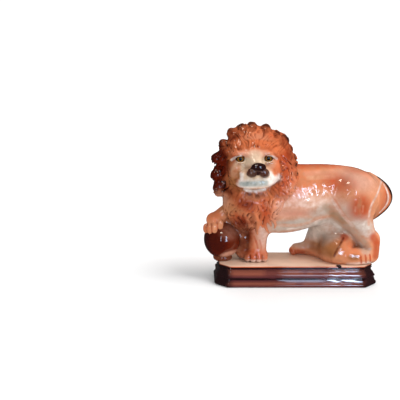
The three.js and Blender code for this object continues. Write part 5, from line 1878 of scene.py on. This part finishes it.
@dataclass
class Plinth:
    """The moulded plinth with canted corners, swept by a node tree.

    Attributes:
        length: Its length, in millimetres.
        depth: Its depth.
        height: Its height.
        corner: How much of a side each canted corner takes.
        slope: How far its top is set back from its foot.
        rounding: Radius of its upright corners.
        rows: Points in the moulding, from the underside to the top.
        spacing: Greatest distance between two points of the outline, or a little more.
        wobble: How far the pressed clay leaves a true line.
        foot: How far the foot's lower edge is set back.
        rolls: Its rolls and coves: first and last height, first and last setback, and bulge.
        brim: Points of its upper edge: height and setback.
        roll_points: Number of points in a roll.
        corner_points: Number of points round an upright corner.
        least: Least way between two points, so that none fall together.
        hollows: Size of the pressed clay's hollows, as the scale of a noise.
        level: Height in metres from which the clay is as uneven as it gets.
    """

    length: float = 267.0
    depth: float = 102.0
    height: float = 34.0
    corner: float = 21.5
    slope: float = 9.2
    rounding: float = 3.4
    rows: int = 120
    spacing: float = 4.0
    wobble: float = 0.35
    foot: float = 3.0
    rolls: tuple[tuple[float, float, float, float, float], ...] = (
        (0.5, 7.2, 1.9, 2.3, 2.0), (7.4, 12.9, 2.6, 4.2, 0.25), (13.3, 18.2, 4.3, 4.7, 2.0),
        (18.4, 21.2, 4.9, 5.8, 0.2), (21.4, 27.6, 6.2, 8.4, -1.2),
        (27.7, 30.6, 8.8, 8.8, 1.5), (30.9, 33.4, 8.3, 8.4, 0.9),
    )
    brim: tuple[tuple[float, float], ...] = ((33.8, 9.0), (34.0, 9.9), (34.0, 14.0))
    roll_points: int = 9
    corner_points: int = 5
    least: float = 0.02
    hollows: float = 28.0
    level: float = 0.004

    @property
    def moulding(self) -> tuple[tuple[float, float, float], ...]:
        """The moulding from the underside to the top: share of the way, rise and setback."""
        points = [(0.0, self.slope), (0.0, self.foot)]
        for low, high, first, last, bulge in self.rolls:
            for t in np.linspace(0, 1, self.roll_points):
                points.append((low + (high - low) * t,
                               first + (last - first) * t - bulge * math.sin(math.pi * t)))
        line = np.array([*points, *self.brim])
        gone = np.cumsum([0, *(np.hypot(*np.diff(line, axis=0).T) + self.least)])
        return tuple((share, rise / self.height, setback / self.slope)
                     for share, (rise, setback) in zip(gone / gone[-1], line))

    def outline(self) -> Pair:
        """The foot's outline, and how each point moves for one millimetre of setback."""
        x, y, cant = self.length / 2, self.depth / 2, self.corner
        corners = np.array([(x - cant, -y), (x, cant - y), (x, y - cant), (x - cant, y),
                            (cant - x, y), (-x, y - cant), (-x, cant - y), (cant - x, -y)])
        along = np.roll(corners, -1, 0) - corners
        along /= np.linalg.norm(along, axis=1)[:, None]
        out = np.column_stack([along[:, 1], -along[:, 0]])
        before = np.roll(out, 1, 0)
        mitres = (before + out) / (1 + (before * out).sum(1))[:, None]
        points, moves = [], []
        for n, here in enumerate(corners):
            middle = here - mitres[n] * self.rounding
            for t in np.linspace(0, 1, self.corner_points):
                facing = before[n] * (1 - t) + out[n] * t
                points.append(middle + self.rounding * facing / np.linalg.norm(facing))
                moves.append(mitres[n])
            after = (n + 1) % len(corners)
            start = points[-1]
            end = corners[after] + self.rounding * (out[n] - mitres[after])
            parts = max(int(np.linalg.norm(end - start) / self.spacing), 1)
            for t in np.arange(1, parts) / parts:
                points.append(start + (end - start) * t)
                moves.append(mitres[n] + (mitres[after] - mitres[n]) * t)
        return np.array(points), np.array(moves)

    def tree(self) -> NodeTree:
        """The node tree that sweeps the moulding round an outline."""
        tree = bpy.data.node_groups.new("sweep of the plinth's moulding", "GeometryNodeTree")
        sockets = tree.interface
        sockets.new_socket("Outline", in_out="INPUT", socket_type="NodeSocketGeometry")
        for name, kind in (("Height", "Float"), ("Slope", "Float"), ("Wobble", "Float"),
                           ("Rows", "Int"), ("Columns", "Int"), ("Material", "Material")):
            sockets.new_socket(name, in_out="INPUT", socket_type=f"NodeSocket{kind}")
        sockets.new_socket("Plinth", in_out="OUTPUT", socket_type="NodeSocketGeometry")
        given = add(tree, "NodeGroupInput").outputs
        position = add(tree, "GeometryNodeInputPosition")
        mitre = add(tree, "GeometryNodeInputNamedAttribute", {"data_type": "FLOAT_VECTOR"},
                    Name="mitre").outputs["Attribute"]
        bottom = self._cap(tree, given, 0, position, mitre)
        top = self._cap(tree, given, len(self.moulding) - 1, position, mitre)
        sides = self._sweep(tree, given, position, mitre)
        joined = add(tree, "GeometryNodeJoinGeometry")
        for part in (top, bottom, sides):
            tree.links.new(part.outputs[0], joined.inputs[0])
        welded = add(tree, "GeometryNodeMergeByDistance", Geometry=joined, Distance=1e-5)
        uneven = self._press(tree, given, position, welded)
        soft = add(tree, "GeometryNodeSetShadeSmooth", Geometry=uneven)
        real = add(tree, "GeometryNodeRealizeInstances", Geometry=soft)
        dressed = add(tree, "GeometryNodeSetMaterial", Geometry=real,
                      Material=given["Material"])
        add(tree, "NodeGroupOutput", Plinth=dressed)
        return tree

    def _sweep(self, tree: NodeTree, given: Any, position: Node, mitre: NodeSocket) -> Node:
        """Sweeps the moulding: a column of the grid for each point of the outline."""
        columns = add(tree, "FunctionNodeIntegerMath", PLUS, i0=given["Columns"], i1=1)
        grid = add(tree, "GeometryNodeMeshGrid", None, i2=columns, i3=given["Rows"])
        index = add(tree, "GeometryNodeInputIndex")
        column = add(tree, "FunctionNodeIntegerMath", {"operation": "DIVIDE_FLOOR"}, i0=index,
                     i1=given["Rows"])
        row = add(tree, "FunctionNodeIntegerMath", REMAINDER, i0=index, i1=given["Rows"])
        around = add(tree, "FunctionNodeIntegerMath", REMAINDER, i0=column, i1=given["Columns"])
        vector = {"data_type": "FLOAT_VECTOR", "domain": "POINT"}
        foot, inward = (add(tree, "GeometryNodeSampleIndex", vector,
                            Geometry=given["Outline"], Value=value, Index=around)
                        for value in (position, mitre))
        last = add(tree, "FunctionNodeIntegerMath", MINUS, i0=given["Rows"], i1=1)
        share = add(tree, "Math", OVER, i0=row, i1=last)
        lift, reach = (add(tree, "Math", TIMES,
                           i0=self._profile(tree, share, number), i1=given[name])
                       for number, name in ((1, "Height"), (2, "Slope")))
        inset = add(tree, "VectorMath", SCALED, i0=inward, Scale=reach)
        base = add(tree, "VectorMath", MINUS, i0=foot, i1=inset)
        up = add(tree, "CombineXYZ", Z=lift)
        place = add(tree, "VectorMath", PLUS, i0=base, i1=up)
        return add(tree, "GeometryNodeSetPosition", Geometry=grid, Position=place)

    def _press(self, tree: NodeTree, given: Any, position: Node, geometry: Node) -> Node:
        """Makes the clay a little uneven above its flat underside."""
        noise = add(tree, "TexNoise", Vector=position, Scale=self.hollows, Detail=1.0)
        centred = add(tree, "VectorMath", MINUS, i0=noise.outputs["Color"], i1=(0.5, 0.5, 0.5))
        height = add(tree, "SeparateXYZ", Vector=position)
        lifted = add(tree, "MapRange", Value=height.outputs[2], From_Max=self.level)
        amount = add(tree, "Math", TIMES, i0=lifted, i1=given["Wobble"])
        offset = add(tree, "VectorMath", SCALED, i0=centred, Scale=amount)
        return add(tree, "GeometryNodeSetPosition", Geometry=geometry, Offset=offset)

    def _profile(self, tree: NodeTree, share: Node, column: int) -> Node:
        """A curve through one column of the moulding."""
        node = add(tree, "FloatCurve", Value=share)
        scale = max(entry[column] for entry in self.moulding)
        curve = node.mapping.curves[0]
        curve.points[0].location = (0.0, self.moulding[0][column] / scale)
        curve.points[1].location = (1.0, self.moulding[-1][column] / scale)
        for entry in self.moulding[1:-1]:
            curve.points.new(entry[0], entry[column] / scale)
        for point in curve.points:
            point.handle_type = "VECTOR"
        node.mapping.update()
        return add(tree, "Math", TIMES, i0=node, i1=scale)

    def _cap(self, tree: NodeTree, given: Any, number: int,
             position: Node, mitre: NodeSocket) -> Node:
        """Closes the sweep at its first or last row."""
        _, rise, setback = self.moulding[number]
        reach = add(tree, "Math", TIMES, i0=given["Slope"], i1=setback)
        inset = add(tree, "VectorMath", SCALED, i0=mitre, Scale=reach)
        place = add(tree, "VectorMath", MINUS, i0=position, i1=inset)
        ring = add(tree, "GeometryNodeSetPosition", Geometry=given["Outline"], Position=place)
        curve = add(tree, "GeometryNodeMeshToCurve", Mesh=ring)
        flat = add(tree, "GeometryNodeFillCurve", Curve=curve)
        height = add(tree, "Math", TIMES, i0=given["Height"], i1=rise)
        lift = add(tree, "CombineXYZ", Z=height)
        placed = add(tree, "GeometryNodeTransform", Geometry=flat, Translation=lift)
        return placed if number else add(tree, "GeometryNodeFlipFaces", Mesh=placed)

    def build(self, material: Material) -> Object:
        """Builds the plinth as a piece."""
        outline, mitres = self.outline()
        ring = bpy.data.meshes.new("outline of the plinth")
        flat = np.column_stack([outline * MM, np.zeros(len(outline))])
        count = len(flat)
        ring.from_pydata(flat.tolist(), [(n, (n + 1) % count) for n in range(count)], [])
        layer = ring.attributes.new("mitre", "FLOAT_VECTOR", "POINT")
        layer.data.foreach_set("vector", np.column_stack(
            [mitres, np.zeros(count)]).astype(np.float32).ravel())
        maker = new_object("outline of the plinth", ring)
        modifier = maker.modifiers.new("sweep", "NODES")
        modifier.node_group = self.tree()
        values = {"Height": self.height * MM, "Slope": self.slope * MM,
                  "Wobble": self.wobble * MM, "Rows": self.rows, "Columns": count,
                  "Material": material}
        for item in modifier.node_group.interface.items_tree:
            if item.in_out == "INPUT" and item.name in values:
                modifier[item.identifier] = values[item.name]
        graph = bpy.context.evaluated_depsgraph_get()
        mesh = bpy.data.meshes.new_from_object(maker.evaluated_get(graph))
        bpy.data.objects.remove(maker)
        mesh.name = "plinth"
        if "mitre" in mesh.attributes:
            mesh.attributes.remove(mesh.attributes["mitre"])
        piece = new_object("plinth", mesh)
        put_in_frame(piece, CAD_NODE, slot="glazed_earthenware")
        return piece


@dataclass(frozen=True)
class PlinthGlaze:
    """The plinth's painting: a pale top, and sides washed in dark manganese brown.

    The wash thins to warm brown along the front and is nearly black on the corners. Its
    nearly black bands under the rolls are painted shade, and a pale lilac line at the foot is a
    painted reflection of the floor.

    Attributes:
        name: Name of the material.
        top: Ground of the top as sRGB hex.
        rim: Red line round the top.
        wash: Wash on the sides.
        warm: The wash where it is thin.
        dark: Nearly black, on the corners, and as painted shade in the bands under the rolls.
        foot: The pale lilac line at the foot, a painted reflection of the floor.
        biscuit: The bare clay of the underside.
        roughness: Roughness of the glaze.
        ior: Refractive index of the glaze.
        bands: Lowest and highest height of the painted bands, in metres.
        ragged: How far the bands' edges wander.
        streaks: Length of the wash's streaks, in millimetres.
        clouds: Size of its clouds.
        strayed: How far the dark of the corners strays with the clouds, in metres.
        corners: Where the dark of the corners starts and is full, along the length.
        wall_top: Where the stain of the sides is full and where it ends.
        dark_top: Where the dark of the corners is full and where it ends.
    """

    name: str = "plinth_lead_glaze"
    top: str = "e8c4ab"
    rim: str = "b4583a"
    wash: str = "56282c"
    warm: str = "84493a"
    dark: str = "241012"
    foot: str = "b9a3a4"
    biscuit: str = "c9b49c"
    roughness: float = 0.05
    ior: float = 1.7
    bands: Range = (0.0004, 0.0344)
    ragged: float = 0.0008
    streaks: float = 24.0
    clouds: float = 30.0
    strayed: float = 0.03
    corners: Range = (0.108, 0.134)
    wall_top: Range = (0.029, 0.031)
    dark_top: Range = (0.0326, 0.0338)

    @property
    def stops(self) -> tuple[tuple[float, str], ...]:
        """The bands from the underside to the top: share of the height, and colour."""
        # The dark bands from 0.38 to 0.45 and from 0.875 to 0.94 lie under the rolls: painted
        # shade. The foot's pale line is a painted reflection of the floor.
        return ((0.0, self.biscuit), (0.015, self.foot), (0.05, self.wash), (0.2, self.warm),
                (0.33, self.wash), (0.38, self.dark), (0.45, self.dark), (0.5, self.wash),
                (0.62, self.warm), (0.8, self.warm), (0.85, self.wash), (0.875, self.dark),
                (0.94, self.dark), (0.955, self.rim), (0.98, self.rim), (0.995, self.top))

    def build(self) -> Material:
        """Makes the material."""
        material, tree = new_material(self.name)
        place = add(tree, "TexCoord").outputs["Object"]
        axes = add(tree, "SeparateXYZ", Vector=place).outputs
        stretched = add(tree, "Mapping", None, Vector=place, Scale=(0.5, 1, 1.4))
        streak = add(tree, "TexNoise", Vector=stretched, Scale=1 / (self.streaks * MM),
                     Detail=2.0).outputs["Fac"]
        cloud = add(tree, "TexNoise", Vector=place, Scale=1 / (self.clouds * MM),
                    Detail=2.0).outputs["Fac"]
        raised = add(tree, "Math", TIMES_PLUS, i0=streak, i1=self.ragged, i2=axes[2])
        bands = add(tree, "MapRange", Value=raised, From_Min=self.bands[0],
                    From_Max=self.bands[1])
        colours = add(tree, "ValToRGB", Fac=bands)
        elements = colours.color_ramp.elements
        for element, (where, code) in zip(elements, (self.stops[0], self.stops[-1])):
            element.position, element.color = where, linear(code)
        for where, code in self.stops[1:-1]:
            elements.new(where).color = linear(code)
        purple = add(tree, "MapRange", SMOOTH, Value=cloud, From_Min=0.5,
                     From_Max=0.66, To_Max=0.6)
        sides = add(tree, "MapRange", Value=axes[2], From_Min=self.wall_top[1],
                    From_Max=self.wall_top[0])
        tint = add(tree, "Math", TIMES, i0=purple, i1=sides)
        stained = add(tree, "Mix", COLOURS, i0=tint, i6=colours, i7=linear(self.wash))
        length = add(tree, "Math", {"operation": "ABSOLUTE"}, i0=axes[0])
        ends = add(tree, "Math", TIMES_PLUS, i0=cloud, i1=self.strayed, i2=length)
        corner = add(tree, "MapRange", SMOOTH, Value=ends, From_Min=self.corners[0],
                     From_Max=self.corners[1])
        below = add(tree, "MapRange", Value=axes[2], From_Min=self.dark_top[1],
                    From_Max=self.dark_top[0])
        shade = add(tree, "Math", TIMES, i0=corner, i1=below)
        cornered = add(tree, "Mix", COLOURS, i0=shade, i6=stained.outputs[2],
                       i7=linear(self.dark))
        tone = add(tree, "MapRange", Value=streak, From_Min=0.3, From_Max=0.7,
                   To_Min=0.92, To_Max=1.08)
        grey = add(tree, "CombineColor", i0=tone, i1=tone, i2=tone)
        toned = add(tree, "Mix", TINTED, i0=1.0, i6=cornered.outputs[2], i7=grey)
        swell = add(tree, "Bump", Strength=0.2, Distance=0.0008, Height=streak)
        coat_with(tree, toned.outputs[2], self.roughness, self.ior, swell)
        return material


@dataclass(frozen=True)
class Lamp:
    """A rectangular lamp.

    Attributes:
        name: Its name.
        place: Its place, in metres.
        size: Its width and height.
        power: Its power in watts.
        target: The point that it faces.
        colour: Its colour as sRGB hex.
        mirrored: Whether it shows in the gloss.
        lit: Whether it lights the matt colours.
        panes: Number of panes across and up.
        bar: Width of the dark bars between the panes, in metres.
    """

    name: str
    place: Shares
    size: Range
    power: float
    target: Shares = (0.0, 0.0, 0.1)
    colour: str = "ffffff"
    mirrored: bool = True
    lit: bool = True
    panes: tuple[int, int] = (1, 1)
    bar: float = 0.03


LAMPS = (
    Lamp("left window", (-0.33, -0.9, 0.33), (0.08, 0.45), 0.9, (0.0, 0.0, 0.14), "dfe8ff",
         lit=False, panes=(1, 3)),
    Lamp("middle window", (0.16, -0.9, 0.33), (0.12, 0.5), 1.0, (0.0, 0.0, 0.14), "b6d2f2",
         lit=False, panes=(1, 4)),
    Lamp("right window", (0.285, -0.9, 0.33), (0.11, 0.5), 2.8, (0.0, 0.0, 0.14), "b6d2f2",
         lit=False, panes=(2, 4)),
    Lamp("skylight", (-0.36, -0.75, 1.2), (0.3, 0.14), 3.0, (0.0, 0.0, 0.2), "f4ecdc",
         lit=False, panes=(3, 1)),
    Lamp("front curtain", (0.6, -2.4, 1.0), (2.6, 1.8), 15.0, mirrored=False),
    Lamp("back curtain", (-0.4, 2.4, 1.2), (2.4, 1.8), 24.0, mirrored=False),
)


@dataclass
class Studio:
    """Floor, lights, white surroundings and camera.

    Attributes:
        sky: Strength of the even light from above.
        sky_spread: Its spread in degrees.
        sky_tilt: The light's turn about the length and about the depth, in degrees.
        room: Strength of the dim room round the object.
        room_gloss: Strength of the room as it shows in the gloss.
        paper: Strength of the white paper behind, as the camera sees it.
        lens: Focal length of the camera, in millimetres.
        sensor: Width of its sensor.
        stand: Its place, in metres.
        pitch: Its turn upwards from straight down, in degrees.
        card: Half width of the floor, in metres.
        gap: How far it lies below the plinth.
        white: Its colour as sRGB hex.
        matt: Its roughness.
    """

    sky: float = 2.4
    sky_spread: float = 36.0
    sky_tilt: Range = (14.0, 36.0)
    room: float = 0.54
    room_gloss: float = 0.04
    paper: float = 1.1
    lens: float = 55.35
    sensor: float = 36.0
    stand: Shares = (-0.157, -1.0, 0.326)
    pitch: float = 79.2
    card: float = 2.2
    gap: float = 0.0002
    white: str = "f4f4f4"
    matt: float = 0.9

    def camera(self) -> None:
        """Sets the camera at the photograph's place and angle."""
        data = bpy.data.cameras.new("camera")
        data.lens = self.lens
        data.sensor_width = self.sensor
        item = new_object("camera", data)
        item.location = self.stand
        item.rotation_euler = (math.radians(self.pitch), 0, 0)
        bpy.context.scene.camera = item

    def floor(self) -> None:
        """Lays a plain pale floor."""
        material = bpy.data.materials.new("white_card")
        material.use_nodes = True
        shader = material.node_tree.nodes["Principled BSDF"]
        shader.inputs["Base Color"].default_value = linear(self.white)
        shader.inputs["Roughness"].default_value = self.matt
        mesh = bpy.data.meshes.new("floor")
        corners = [(x * self.card, y * self.card, 0)
                   for x, y in ((-1, -1), (1, -1), (1, 1), (-1, 1))]
        mesh.from_pydata(corners, [], [(0, 1, 2, 3)])
        mesh.materials.append(material)
        item = new_object("floor", mesh)
        item.location.z = -self.gap
        item.visible_glossy = False

    def lights(self) -> None:
        """Hangs the lamps, and spreads an even light from above."""
        for lamp in LAMPS:
            turn = (Vector(lamp.target) - Vector(lamp.place)).to_track_quat("-Z", "Y")
            across, up = lamp.panes
            width, height = (size / count for size, count in zip(lamp.size, lamp.panes))
            for pane in range(across * up):
                data = bpy.data.lights.new(lamp.name, "AREA")
                data.shape = "RECTANGLE"
                data.size = width - (lamp.bar if across > 1 else 0)
                data.size_y = height - (lamp.bar if up > 1 else 0)
                data.energy = lamp.power / (across * up)
                data.color = linear(lamp.colour)[:3]
                item = new_object(lamp.name, data)
                offset = Vector(((pane % across + 0.5) * width - lamp.size[0] / 2,
                                 (pane // across + 0.5) * height - lamp.size[1] / 2, 0))
                item.location = Vector(lamp.place) + turn @ offset
                item.rotation_euler = turn.to_euler()
                item.visible_glossy = lamp.mirrored
                item.visible_diffuse = lamp.lit
        data = bpy.data.lights.new("sky", "SUN")
        data.energy = self.sky
        data.angle = math.radians(self.sky_spread)
        item = new_object("sky", data)
        item.rotation_euler = (*(math.radians(turn) for turn in self.sky_tilt), 0)
        item.visible_glossy = False

    def world(self) -> None:
        """Surrounds the scene with a dim room, and with white paper where the camera looks."""
        world = bpy.data.worlds.new("room")
        bpy.context.scene.world = world
        world.use_nodes = True
        tree = world.node_tree
        tree.nodes.clear()
        path = add(tree, "LightPath").outputs
        gloss = add(tree, "MapRange", Value=path["Is Glossy Ray"], To_Min=self.room,
                    To_Max=self.room_gloss)
        strength = add(tree, "MapRange", Value=path["Is Camera Ray"], To_Min=gloss,
                       To_Max=self.paper)
        light = add(tree, "Background", Color=(1, 1, 1, 1), Strength=strength)
        add(tree, "OutputWorld", Surface=light)

    def build(self) -> None:
        """Sets the whole studio up."""
        self.camera()
        self.floor()
        self.lights()
        self.world()
        view = bpy.context.scene.view_settings
        view.view_transform = "Standard"
        view.look = "None"


def main() -> None:
    """Builds the studio and each piece in order."""
    logging.basicConfig(level=logging.INFO, format="%(name)s %(message)s")
    Studio().build()
    paint = GlazedEarthenware("painted_lead_glaze", "d9916a", tuple(Glaze)).build()
    hair = GlazedEarthenware("hair_lead_glaze", "d9916a", tuple(Glaze), swell=8.0).build()
    dark = GlazedEarthenware("ball_lead_glaze", "8a4a30",
                             (RUST, UMBER, AUBERGINE, PINK),
                             roughness=0.03, swell=26.0, torn=0.5).build()
    LionBody().build(paint)
    LionHead().build(hair)
    Ball().build(dark)
    Plinth().build(PlinthGlaze().build())
    glass = EyeGlass().build()
    for eye in EYES:
        eye.build(glass)


if __name__ == "__main__":
    main()
